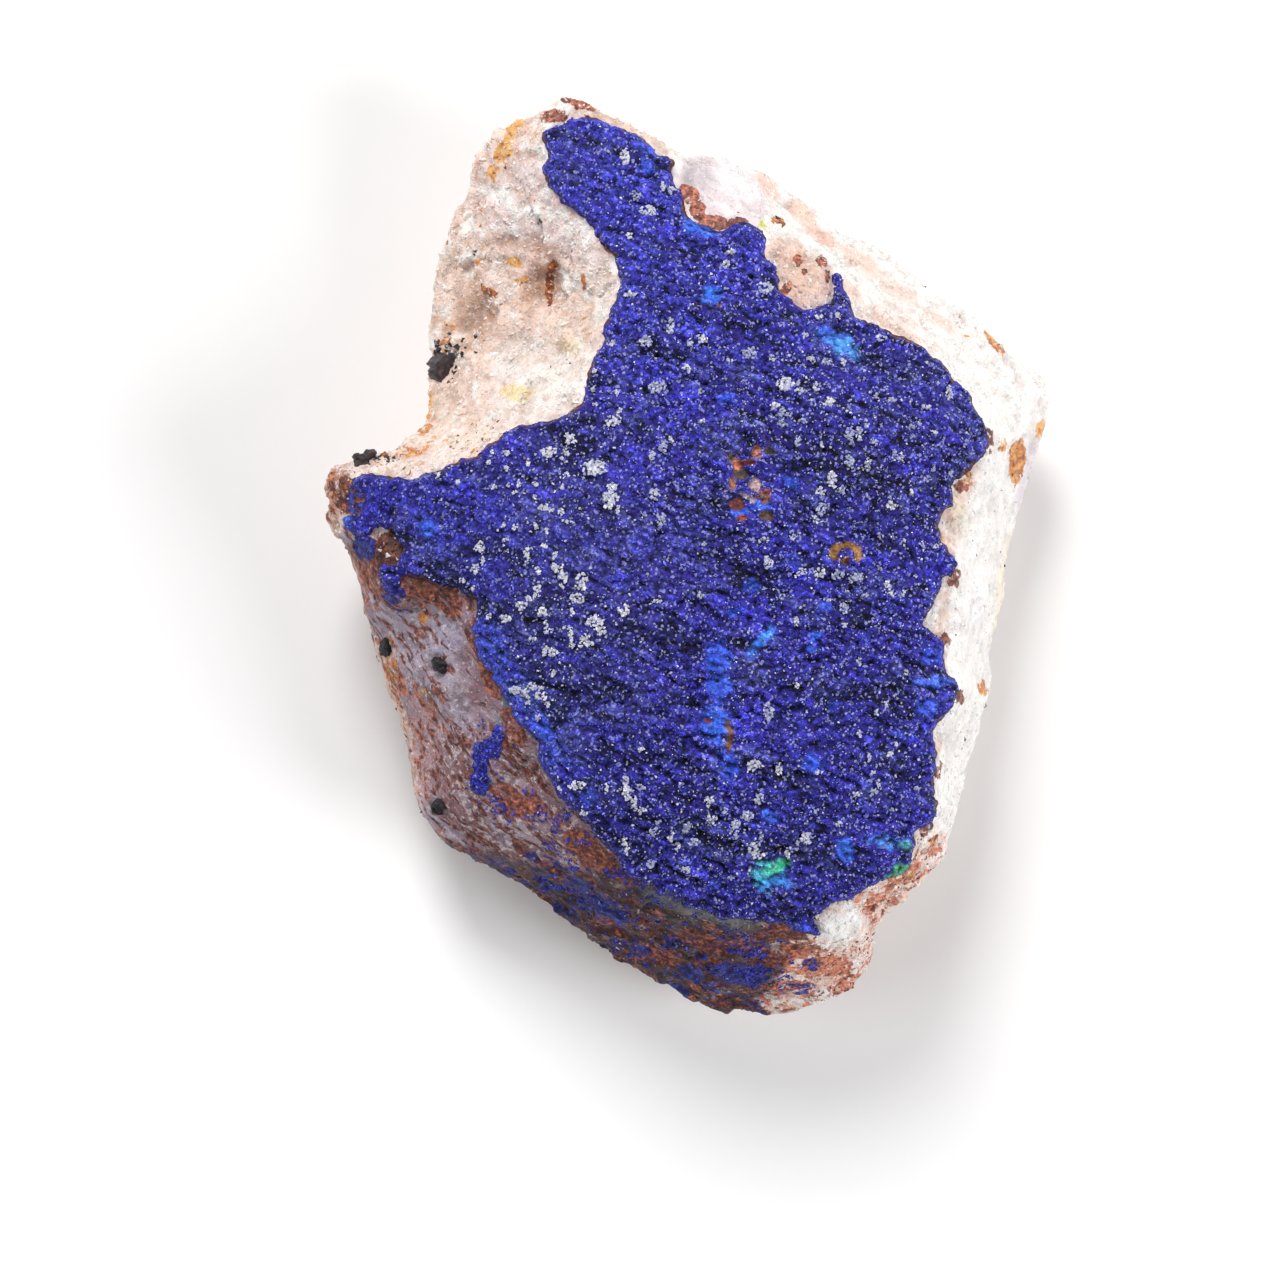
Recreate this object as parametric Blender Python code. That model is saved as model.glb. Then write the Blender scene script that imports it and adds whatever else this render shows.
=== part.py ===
"""Azurite specimen: a broken hand-sized piece of pale host rock, lying on its back, with a crust of
tiny azurite crystals grown over its upper face.

Metres, +Z up. The rock rests on one flat break at z = 0, and the azurite looks up.
The outlines are laid out in drawing units of 0.131 mm, X to the right and Y down, as the piece looks
from straight above at a distance of VIEW. place() turns drawing units and a height into real positions.
"""

import math

import bmesh
import bpy
import numpy as np
from mathutils import Matrix, Vector
from mathutils.geometry import delaunay_2d_cdt

# ---------------------------------------------------------------- driving dimensions
UNIT = 0.131e-3          # one drawing unit
CENTRE = (688.8152, 562.2063)  # drawing position of the origin
AXIS = (640.0, 640.0)    # drawing position straight under the viewing point
VIEW = 0.560             # viewing distance that the drawing was laid out from, above Z_MID
Z_MID = 0.025
CRUST = 1.6e-3           # thickness of the azurite crust
CRUST_EDGE = 0.55e-3     # its thickness at the broken rim
GAP = 0.3e-3             # clearance between the crust and its bed, and round each grain
TOP_STEP = 3.1e-3        # spacing of the points on the upper side
UNDER_STEP = 4.2e-3      # and on the underside
STREAK = 0.8e-3          # thickness of the small azurite streak
UNDER_AT = 15            # height in mm at which the underside's outlines are drawn

# ---------------------------------------------------------------- outlines, in drawing units
# Outer rim of the rock, seen from above, clockwise from the splinter at the top: x, y, height in mm.
RIM = [
    (563, 94, 27), (572, 97, 27.5), (583, 99, 28), (591, 104, 28.3), (598, 109, 28), (612, 114, 28),
    (628, 121, 28), (643, 127, 28.4), (659, 138, 28.4), (669, 148, 27.5), (680, 151, 25), (692, 152, 23),
    (706, 151, 21), (720, 154, 20), (735, 158, 19), (752, 164, 18.5), (765, 169, 18), (776, 177, 18),
    (781, 187, 17.5), (793, 193, 17), (806, 197, 17), (822, 208, 17), (833, 225, 17.5), (848, 234, 17),
    (866, 240, 17), (884, 252, 17), (899, 261, 17.5), (916, 271, 17), (937, 288, 17), (957, 302, 17.5),
    (965, 314, 17), (981, 325, 16.5), (993, 340, 16), (1004, 356, 15.5), (1018, 364, 15), (1035, 369, 14.5),
    (1047, 380, 14), (1050, 401, 14), (1051, 425, 15), (1045, 441, 15.5), (1038, 458, 15), (1031, 480, 14),
    (1025, 500, 13.5), (1018, 522, 14), (1012, 548, 15.5), (1008, 585, 17), (1003, 608, 17), (995, 631, 17),
    (991, 656, 17), (991, 684, 17), (986, 706, 16.5), (978, 738, 16), (969, 760, 15.5), (961, 784, 15),
    (957, 812, 15), (947, 838, 15.5), (944, 858, 16), (929, 873, 16), (912, 891, 15.5), (892, 908, 15),
    (878, 925, 14), (877, 949, 13), (870, 970, 12.5), (855, 984, 12), (842, 996, 11.5), (821, 1006, 11),
    (798, 1014, 10.5), (775, 1018, 10), (750, 1018, 9.5), (725, 1014, 9), (700, 1007, 9), (672, 993, 9),
    (641, 971, 9), (608, 950, 9.5), (577, 930, 10), (548, 908, 11), (520, 888, 12.5), (495, 871, 14),
    (470, 859, 15), (445, 849, 16), (428, 830, 16.5), (415, 802, 16), (410, 770, 15.5), (404, 738, 15),
    (394, 712, 15), (384, 688, 15), (377, 662, 15), (373, 640, 15.5), (367, 617, 16), (361, 588, 17),
    (354, 566, 18), (349, 548, 19), (341, 534, 20), (331, 520, 21), (325, 504, 21.5), (321, 486, 22),
    (324, 472, 23), (334, 461, 24), (350, 456, 25), (368, 453, 25), (385, 452, 24.5), (396, 444, 23.5),
    (408, 434, 22), (418, 427, 20.5), (421, 411, 19), (424, 394, 17), (426, 374, 15.5), (428, 350, 15),
    (427, 320, 15), (430, 290, 15), (436, 262, 15), (443, 236, 16), (452, 208, 17), (463, 181, 18.5),
    (474, 161, 19.5), (487, 144, 20.5), (497, 133, 21), (505, 123, 21.5), (512, 115, 22), (525, 111, 23),
    (540, 108, 24.5), (552, 104, 26), (559, 99, 26.6),
]
# Broken edge of the azurite crust, clockwise from its upper left corner.
CRUST_RIM = [
    (540, 129), (548, 124), (562, 122), (567, 117), (582, 115), (589, 112), (596, 116), (607, 120), (617, 125),
    (631, 128), (646, 136), (655, 146), (664, 156), (675, 159), (672, 172), (676, 183), (681, 191), (686, 200),
    (689, 215), (708, 225), (724, 229), (735, 221), (747, 220), (757, 224), (765, 229), (767, 240), (764, 250),
    (770, 258), (777, 266), (778, 275), (780, 284), (785, 292), (791, 298), (797, 304), (805, 308), (818, 306),
    (826, 301), (832, 295), (832, 283), (834, 271), (840, 272), (843, 279), (849, 294), (853, 305), (856, 316),
    (871, 320), (880, 322), (891, 330), (905, 333), (919, 344), (935, 355), (944, 364), (951, 374), (967, 388),
    (971, 396), (976, 406), (985, 422), (990, 432), (992, 441), (989, 450), (985, 456), (975, 468), (966, 474),
    (958, 478), (951, 488), (957, 496), (954, 506), (946, 512), (942, 519), (940, 528), (941, 541), (949, 550),
    (955, 556), (960, 563), (955, 572), (946, 577), (943, 588), (936, 600), (930, 611), (924, 623), (931, 631),
    (944, 640), (948, 648), (946, 660), (946, 671), (954, 676), (958, 682), (961, 690), (958, 701), (955, 710),
    (945, 719), (937, 726), (933, 739), (938, 746), (940, 753), (937, 763), (936, 778), (936, 790), (939, 802),
    (940, 813), (934, 822), (924, 828), (916, 834), (918, 846), (914, 862), (904, 878), (890, 881), (879, 884),
    (866, 891), (854, 898), (843, 902), (833, 906), (824, 912), (815, 918), (817, 927), (824, 934), (815, 938),
    (804, 937), (794, 931), (780, 924), (760, 923), (741, 922), (722, 920), (706, 914), (690, 909), (675, 903),
    (662, 898), (652, 890), (643, 884), (632, 879), (622, 873), (619, 863), (612, 853), (604, 845), (597, 838),
    (587, 827), (577, 817), (566, 806), (556, 796), (551, 787), (547, 778), (540, 769), (535, 760), (539, 751),
    (538, 743), (528, 734), (520, 727), (512, 720), (511, 712), (508, 704), (500, 693), (494, 684), (488, 676),
    (483, 668), (479, 660), (474, 650), (471, 640), (469, 627), (474, 615), (476, 601), (466, 600), (457, 590),
    (446, 589), (434, 587), (427, 583), (417, 579), (408, 577), (402, 583), (398, 592), (392, 600), (384, 594),
    (378, 584), (376, 575), (379, 565), (388, 561), (398, 558), (401, 550), (398, 541), (391, 533), (384, 527),
    (377, 528), (372, 535), (366, 542), (354, 540), (344, 530), (338, 519), (346, 514), (358, 514), (362, 503),
    (361, 494), (353, 490), (346, 486), (351, 479), (359, 474), (367, 471), (376, 471), (385, 474), (393, 477),
    (410, 477), (418, 474), (427, 472), (438, 467), (448, 464), (460, 459), (469, 457), (482, 448), (494, 440),
    (504, 430), (518, 425), (531, 422), (547, 420), (561, 416), (575, 407), (581, 401), (584, 393), (585, 382),
    (586, 371), (590, 363), (593, 355), (600, 347), (603, 339), (602, 331), (604, 322), (609, 310), (614, 300),
    (618, 291), (620, 282), (617, 272), (616, 262), (614, 255), (607, 249), (600, 243), (595, 237), (592, 229),
    (588, 223), (582, 218), (576, 213), (569, 208), (559, 200), (551, 187), (545, 180), (543, 172), (542, 164),
    (546, 157), (547, 151), (542, 144), (540, 137),
]
# The small streak of azurite on the left break.
STREAK_RIM = [
    (493, 724), (499, 723), (505, 734), (503, 748), (501, 759), (490, 761), (487, 771), (490, 780), (489, 789),
    (485, 797), (476, 795), (469, 787), (470, 776), (473, 767), (471, 755), (473, 742), (482, 739), (491, 736),
]
# Height of the crust's upper face in mm.
CRUST_HEIGHTS = [
    (570, 125, 30.6), (600, 180, 32.8), (640, 150, 31.5), (580, 190, 32.6), (620, 260, 36), (700, 250, 37),
    (760, 260, 35.8), (840, 300, 34.2), (700, 330, 40), (800, 350, 38), (900, 350, 33.8), (620, 400, 39.6),
    (700, 450, 43), (850, 430, 41), (950, 400, 34), (980, 440, 32.2), (500, 450, 36.6), (420, 490, 33.4),
    (370, 490, 30.6), (345, 515, 28.4), (400, 540, 32.2), (450, 560, 35), (480, 620, 36.4), (560, 560, 41),
    (700, 600, 44), (850, 560, 42.4), (930, 520, 37), (940, 600, 36.4), (500, 680, 35.4), (560, 760, 36),
    (600, 820, 34.8), (650, 700, 42.4), (750, 750, 41.6), (850, 700, 40.6), (930, 700, 36.4), (930, 780, 35),
    (900, 860, 33), (820, 900, 32), (760, 905, 31.8), (700, 890, 32.6), (640, 865, 32.8), (750, 840, 37.4),
    (850, 820, 38), (800, 930, 30), (560, 650, 40), (780, 480, 43.2),
]
# Bare rock beside the crust: x, y, height in mm.
ROCK_HEIGHTS = [
    (530, 150, 25.6), (505, 165, 22.5), (525, 195, 26), (490, 215, 21), (500, 250, 22.6), (545, 235, 28),
    (460, 290, 18.4), (505, 290, 22.0), (550, 290, 25.6), (590, 285, 30), (475, 335, 20), (525, 335, 24),
    (570, 340, 28.8), (445, 375, 17.8), (500, 380, 24.6), (550, 385, 29.8), (445, 412, 20), (490, 412, 26),
    (440, 445, 27), (400, 458, 27.5), (360, 463, 27), (338, 480, 24.5), (338, 500, 24),
    (700, 172, 28.6), (735, 188, 28.4), (765, 205, 27.5), (722, 212, 31), (800, 225, 26.2), (800, 262, 31),
    (816, 285, 31.6), (850, 262, 24.6), (882, 290, 25), (865, 303, 29.4), (912, 306, 24.2), (942, 330, 24.4),
    (968, 358, 25), (995, 385, 24), (1020, 392, 20.4), (1012, 425, 24.6), (1018, 455, 23), (1000, 490, 24.2),
    (975, 520, 28.8), (988, 545, 25), (970, 600, 28.4), (985, 610, 24.8), (970, 650, 27.4), (974, 690, 24.6),
    (958, 735, 25.6), (948, 790, 26), (934, 835, 26.2), (918, 875, 25.2), (880, 893, 27), (850, 920, 25.6),
    (862, 950, 19.6), (835, 965, 18.4), (800, 975, 16.6), (760, 960, 19.4), (700, 950, 19.4), (655, 925, 20.6),
    (430, 615, 27.2), (400, 600, 24.6), (395, 640, 21.4), (440, 680, 26), (410, 690, 20.4), (450, 740, 24.8),
    (425, 760, 20.2), (470, 800, 24.6), (435, 815, 19.6), (520, 800, 28.6), (560, 850, 27.4), (350, 555, 21),
    (365, 570, 24),
]
# Crease below the left break, where the rock turns under.
CREASE = [(455, 849, 17), (490, 858, 19.5), (525, 864, 22), (560, 870, 24.6), (595, 878, 27), (618, 884, 28.6)]
# Underside: where the sides turn in, the corners of the broken back, and the flat break that the piece rests on.
UNDER_HEIGHTS = [
    (575, 122, 15.5), (548, 138, 13), (512, 152, 11), (489, 178, 9.5), (468, 224, 7), (452, 280, 6), (444, 345, 6.5),
    (449, 400, 9), (428, 440, 12), (385, 470, 14), (348, 484, 14.5), (346, 512, 13), (372, 560, 9), (386, 620, 7),
    (398, 680, 6.5), (420, 745, 6), (432, 810, 7.5), (470, 838, 7), (530, 872, 5), (596, 920, 4), (664, 968, 3.6),
    (725, 992, 3.4), (780, 996, 4), (832, 976, 5.5), (858, 940, 6.5), (868, 908, 7), (902, 880, 7.5), (928, 848, 8),
    (938, 800, 7), (948, 752, 6.5), (966, 700, 7.5), (970, 640, 9), (982, 590, 8.5), (990, 540, 7), (1000, 505, 6),
    (1014, 460, 7), (1026, 420, 7.5), (1018, 390, 7), (990, 372, 7.5), (962, 345, 8.5), (915, 300, 8), (868, 262, 7.5),
    (826, 246, 9), (790, 218, 9.5), (752, 188, 9), (700, 172, 11), (660, 162, 14), (622, 140, 16),
    (600, 190, 6.5), (512, 250, 2.6), (480, 400, 3.6), (430, 560, 3.8), (500, 800, 2.2), (640, 925, 1.6), (800, 925, 2.4),
    (900, 800, 3.2), (930, 620, 3.4), (945, 430, 2.6), (860, 310, 3.0), (720, 215, 4.4),
]
BASE = [
    (574, 252), (648, 226), (700, 240), (764, 283), (838, 330), (905, 372), (929, 452), (934, 540), (906, 640),
    (893, 752), (866, 838), (800, 884), (716, 905), (630, 876), (536, 806), (478, 722), (452, 640), (446, 596),
    (470, 520), (508, 440), (520, 352), (541, 283),
]
# Dark grains set into the rock: name, x, y, half sizes in mm across, along and in depth, turn in degrees, seed.
GRAINS = [
    ("black_grain_upper", 386, 648, 1.45, 1.60, 1.35, 10, 11),
    ("black_grain_middle", 439, 665, 1.25, 1.45, 1.20, -20, 12),
    ("black_grain_lower", 438, 807, 1.10, 1.60, 1.20, 8, 13),
    ("dark_crystal_edge", 443, 365, 2.05, 2.25, 1.80, 25, 14),
    ("dark_seam_tip", 363, 459, 2.30, 0.75, 0.80, -6, 15),
]


# ---------------------------------------------------------------- helpers
def place(x, y, z):
    """Drawing units and a height in metres to a real position."""
    near = (VIEW - (z - Z_MID)) / VIEW
    return (
        ((x - AXIS[0]) * near + AXIS[0] - CENTRE[0]) * UNIT,
        ((AXIS[1] - y) * near + CENTRE[1] - AXIS[1]) * UNIT,
        z,
    )


def placed(rows):
    return np.array([place(x, y, z * 1e-3) for x, y, z in rows])


def spline_surface(points, ease=0.02):
    """A smooth surface (thin plate) through points, as a function of plane positions. Ease lets it miss them a bit."""
    at, z = points[:, :2] * 100, points[:, 2]

    def kernel(a, b):
        d2 = ((a[:, None, :] - b[None, :, :]) ** 2).sum(2)
        return 0.5 * d2 * np.log(d2 + 1e-9)

    n = len(at)
    side = np.c_[np.ones(n), at]
    full = np.zeros((n + 3, n + 3))
    full[:n, :n] = kernel(at, at) + ease * np.eye(n)
    full[:n, n:], full[n:, :n] = side, side.T
    weights = np.linalg.solve(full, np.r_[z, 0, 0, 0])

    def height(xy):
        xy = np.atleast_2d(np.asarray(xy, float)) * 100
        return kernel(xy, at) @ weights[:n] + np.c_[np.ones(len(xy)), xy] @ weights[n:]

    return height


def laid(rows, surface):
    """Drawing positions laid on a surface."""
    out = []
    for x, y in rows:
        q = place(x, y, 0.03)
        for _ in range(4):
            q = place(x, y, float(surface(np.array([q[:2]]))[0]))
        out.append(q)
    return np.array(out)


def lattice_noise(p, size, seed):
    """Smooth noise between -1 and 1 with features of the given size, at points p."""
    q = p / size
    cell = np.floor(q).astype(np.int64)
    f = q - cell
    f = f * f * f * (f * (f * 6 - 15) + 10)
    total = np.zeros(len(p))
    for dx in (0, 1):
        for dy in (0, 1):
            for dz in (0, 1):
                c = cell + (dx, dy, dz)
                h = (c[:, 0] * 73856093) ^ (c[:, 1] * 19349663) ^ (c[:, 2] * 83492791) ^ (seed * 2654435761)
                h = (h ^ (h >> 13)) * 1274126177 & 0xFFFFFFFF
                value = ((h ^ (h >> 16)) & 0xFFFF) / 32767.5 - 1
                w = (
                    (f[:, 0] if dx else 1 - f[:, 0])
                    * (f[:, 1] if dy else 1 - f[:, 1])
                    * (f[:, 2] if dz else 1 - f[:, 2])
                )
                total += w * value
    return total


def facets(p, size, seed):
    """Tilted flat breaks of the given size, about -1 to 1, at points p."""
    q = p / size
    cell = np.floor(q).astype(np.int64)
    best = np.full(len(p), 1e9)
    out = np.zeros(len(p))
    for dx in (-1, 0, 1):
        for dy in (-1, 0, 1):
            for dz in (-1, 0, 1):
                c = cell + (dx, dy, dz)
                h = (c[:, 0] * 73856093) ^ (c[:, 1] * 19349663) ^ (c[:, 2] * 83492791) ^ (seed * 2654435761)
                parts = []
                for _ in range(7):
                    h = (h ^ (h >> 13)) * 1274126177 & 0xFFFFFFFF
                    h = h ^ (h >> 16)
                    parts.append((h & 0xFFFF) / 65535.0)
                spot = c + np.array(parts[:3]).T
                away = q - spot
                d = (away**2).sum(1)
                tilt = (np.array(parts[3:6]).T - 0.5) * 2.2
                value = (away * tilt).sum(1) + (parts[6] - 0.5) * 0.9
                nearer = d < best
                best = np.where(nearer, d, best)
                out = np.where(nearer, value, out)
    return np.clip(out, -1.2, 1.2)


def inside(points, ring):
    """Which points lie inside a closed ring, by crossings."""
    ring = np.asarray(ring, float)
    x, y = points[:, 0][:, None], points[:, 1][:, None]
    x0, y0 = ring[:, 0], ring[:, 1]
    x1, y1 = np.roll(x0, -1), np.roll(y0, -1)
    rise = np.where(y1 == y0, 1e-12, y1 - y0)
    across = ((y0 > y) != (y1 > y)) & (x < (x1 - x0) * (y - y0) / rise + x0)
    return across.sum(1) % 2 == 1


def to_edges(points, rings):
    """Distance from each point to the nearest segment of the rings."""
    best = np.full(len(points), 1e9)
    for ring, shut in rings:
        a = np.asarray(ring, float)
        b = np.roll(a, -1, axis=0)
        if not shut:
            a, b = a[:-1], b[:-1]
        for p, q in zip(a, b):
            d = q - p
            t = np.clip(((points - p) @ d) / max(d @ d, 1e-18), 0, 1)
            best = np.minimum(best, np.hypot(*(points - p - t[:, None] * d).T))
    return best


def triangulate(points, rings):
    """Triangles over scattered plane points that keep every segment of the rings, as point indices."""
    edges = []
    for start, count, shut in rings:
        edges += [(start + i, start + (i + 1) % count) for i in range(count if shut else count - 1)]
    made = delaunay_2d_cdt([Vector(p) for p in points], edges, [], 0, 1e-9, True)
    if len(made[0]) != len(points):
        raise ValueError("two outlines cross")
    first = [ids[0] for ids in made[3]]
    return np.array([[first[i] for i in face] for face in made[2]])


def turned_up(tris, xy):
    """The triangles wound so that they face up."""
    a, b, c = (xy[tris[:, i]] for i in range(3))
    area = (b[:, 0] - a[:, 0]) * (c[:, 1] - a[:, 1]) - (b[:, 1] - a[:, 1]) * (c[:, 0] - a[:, 0])
    tris = tris.copy()
    tris[area < 0] = tris[area < 0][:, ::-1]
    return tris[np.abs(area) > 1e-13]


def scattered(ring, step, seed):
    """Points on a shaken hexagonal grid inside a ring."""
    rng = np.random.RandomState(seed)
    ring = np.asarray(ring, float)
    lo, hi = ring.min(0), ring.max(0)
    xs = np.arange(lo[0], hi[0], step)
    ys = np.arange(lo[1], hi[1], step * math.sqrt(3) / 2)
    grid = np.array([(x + (i % 2) * step / 2, y) for i, y in enumerate(ys) for x in xs])
    grid += rng.uniform(-0.24, 0.24, grid.shape) * step
    return grid[inside(grid, ring)]


def coarse_heights(known, rings):
    """Height over the plane from flat facets between known points, as a function of plane positions."""
    tris = triangulate(known[:, :2], rings)
    a, b, c = (known[tris[:, i]] for i in range(3))
    det = (b[:, 1] - c[:, 1]) * (a[:, 0] - c[:, 0]) + (c[:, 0] - b[:, 0]) * (a[:, 1] - c[:, 1])
    whole = np.abs(det) > 1e-14
    a, b, c, det = a[whole], b[whole], c[whole], det[whole]

    def height(xy):
        out = np.empty(len(xy))
        for i in range(0, len(xy), 400):
            x, y = xy[i : i + 400, 0][:, None], xy[i : i + 400, 1][:, None]
            u = ((b[:, 1] - c[:, 1]) * (x - c[:, 0]) + (c[:, 0] - b[:, 0]) * (y - c[:, 1])) / det
            v = ((c[:, 1] - a[:, 1]) * (x - c[:, 0]) + (a[:, 0] - c[:, 0]) * (y - c[:, 1])) / det
            w = 1 - u - v
            which = np.minimum(np.minimum(u, v), w).argmax(1)
            k = np.arange(len(which))
            out[i : i + 400] = (
                u[k, which] * a[which, 2] + v[k, which] * b[which, 2] + w[k, which] * c[which, 2]
            )
        return out

    return height


def make(name, points, faces, colour, roughness):
    mesh = bpy.data.meshes.new(name)
    mesh.from_pydata([tuple(map(float, p)) for p in points], [], [tuple(map(int, f)) for f in faces])
    mesh.update()
    obj = bpy.data.objects.new(name, mesh)
    bpy.context.scene.collection.objects.link(obj)
    material = bpy.data.materials.new(name)
    material.use_nodes = True
    shader = material.node_tree.nodes["Principled BSDF"]
    shader.inputs["Base Color"].default_value = (*colour, 1)
    shader.inputs["Roughness"].default_value = roughness
    shader.inputs["Metallic"].default_value = 0.0
    mesh.materials.append(material)
    return obj


def vertex_normals(points, tris, rounds=2):
    """Smoothed normals of the upper side."""
    a, b, c = (points[tris[:, i]] for i in range(3))
    face = np.cross(b - a, c - a)
    normal = np.zeros_like(points)
    for i in range(3):
        np.add.at(normal, tris[:, i], face)
    normal /= np.maximum(np.linalg.norm(normal, axis=1, keepdims=True), 1e-12)
    for _ in range(rounds):
        mixed = normal.copy()
        for i, j in ((0, 1), (1, 2), (2, 0)):
            np.add.at(mixed, tris[:, i], normal[tris[:, j]])
            np.add.at(mixed, tris[:, j], normal[tris[:, i]])
        normal = mixed / np.maximum(np.linalg.norm(mixed, axis=1, keepdims=True), 1e-12)
    return normal


def used_only(points, faces):
    keep, index = np.unique(faces, return_inverse=True)
    return points[keep], index.reshape(faces.shape)


# ---------------------------------------------------------------- the rock
def drawing_of(p):
    near = (VIEW - (p[:, 2] - Z_MID)) / VIEW
    return np.c_[
        (p[:, 0] / UNIT + CENTRE[0] - AXIS[0]) / near + AXIS[0],
        AXIS[1] - (p[:, 1] / UNIT - CENTRE[1] + AXIS[1]) / near,
    ]


crust_top = spline_surface(placed(CRUST_HEIGHTS))


def bed(xy):
    """The bed of the crust: its upper face less its thickness."""
    return crust_top(xy) - CRUST


crust_rim = laid(CRUST_RIM, bed)
rim = placed(RIM)

# The sides fall away from the outermost points of the crust's edge, not from its bays.
around = len(crust_rim)
window = [(np.arange(around) + k) % around for k in range(-6, 7)]
mean_rim = np.mean([crust_rim[w] for w in window], axis=0)
along = np.roll(mean_rim, -2, axis=0) - np.roll(mean_rim, 2, axis=0)
outward = np.c_[-along[:, 1], along[:, 0]]
outward /= np.linalg.norm(outward, axis=1, keepdims=True)
leads = ((crust_rim - mean_rim)[:, :2] * outward).sum(1) > -0.15e-3

beside = placed([r for r in ROCK_HEIGHTS if not inside(np.array([r[:2]], float), CRUST_RIM)[0]])
flank = spline_surface(np.vstack([rim, crust_rim[leads], beside, placed(CREASE)]), 0.35)


def roughened(p, amount, seed):
    """The rock's own unevenness, as heights to add: flat breaks and a little waviness."""
    return amount * (
        0.75e-3 * facets(p, 10e-3, seed)
        + 0.42e-3 * facets(p, 5.2e-3, seed + 1)
        + 0.22e-3 * lattice_noise(p, 3.6e-3, seed + 2)
    )


def crust_waves(p):
    """Low ridges of the crust that run across it, sloping a little down to the right."""
    turned = np.c_[p[:, 0] * 0.34 - p[:, 1] * 0.10, p[:, 1] + 0.28 * p[:, 0], p[:, 2]]
    return 0.30e-3 * lattice_noise(turned, 3.6e-3, 41) + 0.18e-3 * lattice_noise(p, 4.4e-3, 43)


rim[:, 2] = 0.5 * rim[:, 2] + 0.5 * flank(rim[:, :2])
streak_xy = laid(STREAK_RIM, flank)[:, :2]
crease = laid([r[:2] for r in CREASE], flank)
crease[:, 2] += 0.8e-3

grid = scattered(rim[:, :2], TOP_STEP, 5)
rings = [(rim[:, :2], True), (crust_rim[:, :2], True), (streak_xy, True), (crease[:, :2], False)]
grid = grid[to_edges(grid, rings) > 0.36 * TOP_STEP]
in_crust = inside(grid, crust_rim[:, :2])
z = np.where(in_crust, bed(grid), np.minimum(flank(grid), bed(grid) + 0.5e-3))
z = z + np.where(in_crust, crust_waves(np.c_[grid, z]), 0)
streak_z = flank(streak_xy)
upper = np.vstack([rim, crust_rim, np.c_[streak_xy, streak_z], crease, np.c_[grid, z]])
marks = np.cumsum([0, len(rim), len(crust_rim), len(streak_xy), len(crease)])
tris = triangulate(
    upper[:, :2],
    [
        (marks[0], len(rim), True),
        (marks[1], len(crust_rim), True),
        (marks[2], len(streak_xy), True),
        (marks[3], len(crease), False),
    ],
)
tris = turned_up(tris, upper[:, :2])
tris = tris[inside(upper[tris].mean(1)[:, :2], rim[:, :2])]
middle = upper[tris].mean(1)[:, :2]

# Bare rock is broken in and out along its own slope.
n_fixed = marks[-1]
out_of_crust = np.r_[np.zeros(n_fixed, bool), ~in_crust]
loose = np.clip(to_edges(upper[:, :2], rings[:3]) / 4e-3, 0.3, 1)
upper = upper + vertex_normals(upper, tris) * (roughened(upper, loose, 31) * out_of_crust)[:, None]

under_known = placed([(x, y, UNDER_AT) for x, y, _ in UNDER_HEIGHTS])
under_known[:, 2] = [h * 1e-3 for _, _, h in UNDER_HEIGHTS]
base = placed([(x, y, UNDER_AT) for x, y in BASE])
base[:, 2] = 0
off = to_edges(under_known[:, :2], [(rim[:, :2], True), (base[:, :2], True)])
ring = inside(under_known[:, :2], rim[:, :2]) & ~inside(under_known[:, :2], base[:, :2])
under_known = under_known[ring & (off > 1.4e-3)]
under = coarse_heights(
    np.vstack([rim, base, under_known]), [(0, len(rim), True), (len(rim), len(base), True)]
)
low = scattered(rim[:, :2], UNDER_STEP, 8)
low = low[to_edges(low, [(rim[:, :2], True), (base[:, :2], True)]) > 0.4 * UNDER_STEP]
low = low[~inside(low, base[:, :2])]
low = low[((low[:, None, :] - under_known[None, :, :2]) ** 2).sum(2).min(1) > (0.45 * UNDER_STEP) ** 2]
low_z = under(low)
low_z = np.maximum(low_z + roughened(np.c_[low, low_z], 0.9, 57) * np.clip(low_z / 3e-3, 0, 1), 0.3e-3)
lower = np.vstack([rim, base, under_known, np.c_[low, low_z]])
n_rim = len(rim)


def chords(t):
    """Edges that run straight across from one point of the rim to another."""
    ends = np.sort(np.vstack([t[:, [0, 1]], t[:, [1, 2]], t[:, [2, 0]]]), axis=1)
    ends = ends[(ends[:, 1] < n_rim) & (ends[:, 1] - ends[:, 0] > 1) & (ends[:, 1] - ends[:, 0] < n_rim - 1)]
    return set(map(tuple, ends.tolist()))


# No such edge may lie on both sides, so the underside gets a point of its own on it.
for _ in range(4):
    low_tris = turned_up(
        triangulate(lower[:, :2], [(0, n_rim, True), (n_rim, len(base), True)]), lower[:, :2]
    )
    low_tris = low_tris[inside(lower[low_tris].mean(1)[:, :2], rim[:, :2])]
    shared = sorted(chords(tris) & chords(low_tris))
    if not shared:
        break
    lower = np.vstack([lower, [(rim[i] + rim[j]) / 2 - (0, 0, 0.8e-3) for i, j in shared]])

# The two sides share the rim's points.
shift = np.where(np.arange(len(lower)) < n_rim, np.arange(len(lower)), np.arange(len(lower)) + len(upper) - n_rim)
points = np.vstack([upper, lower[n_rim:]])
faces = np.vstack([tris, shift[low_tris][:, ::-1]])


# ---------------------------------------------------------------- sheets of azurite on the rock
normals = vertex_normals(upper, tris)


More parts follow.
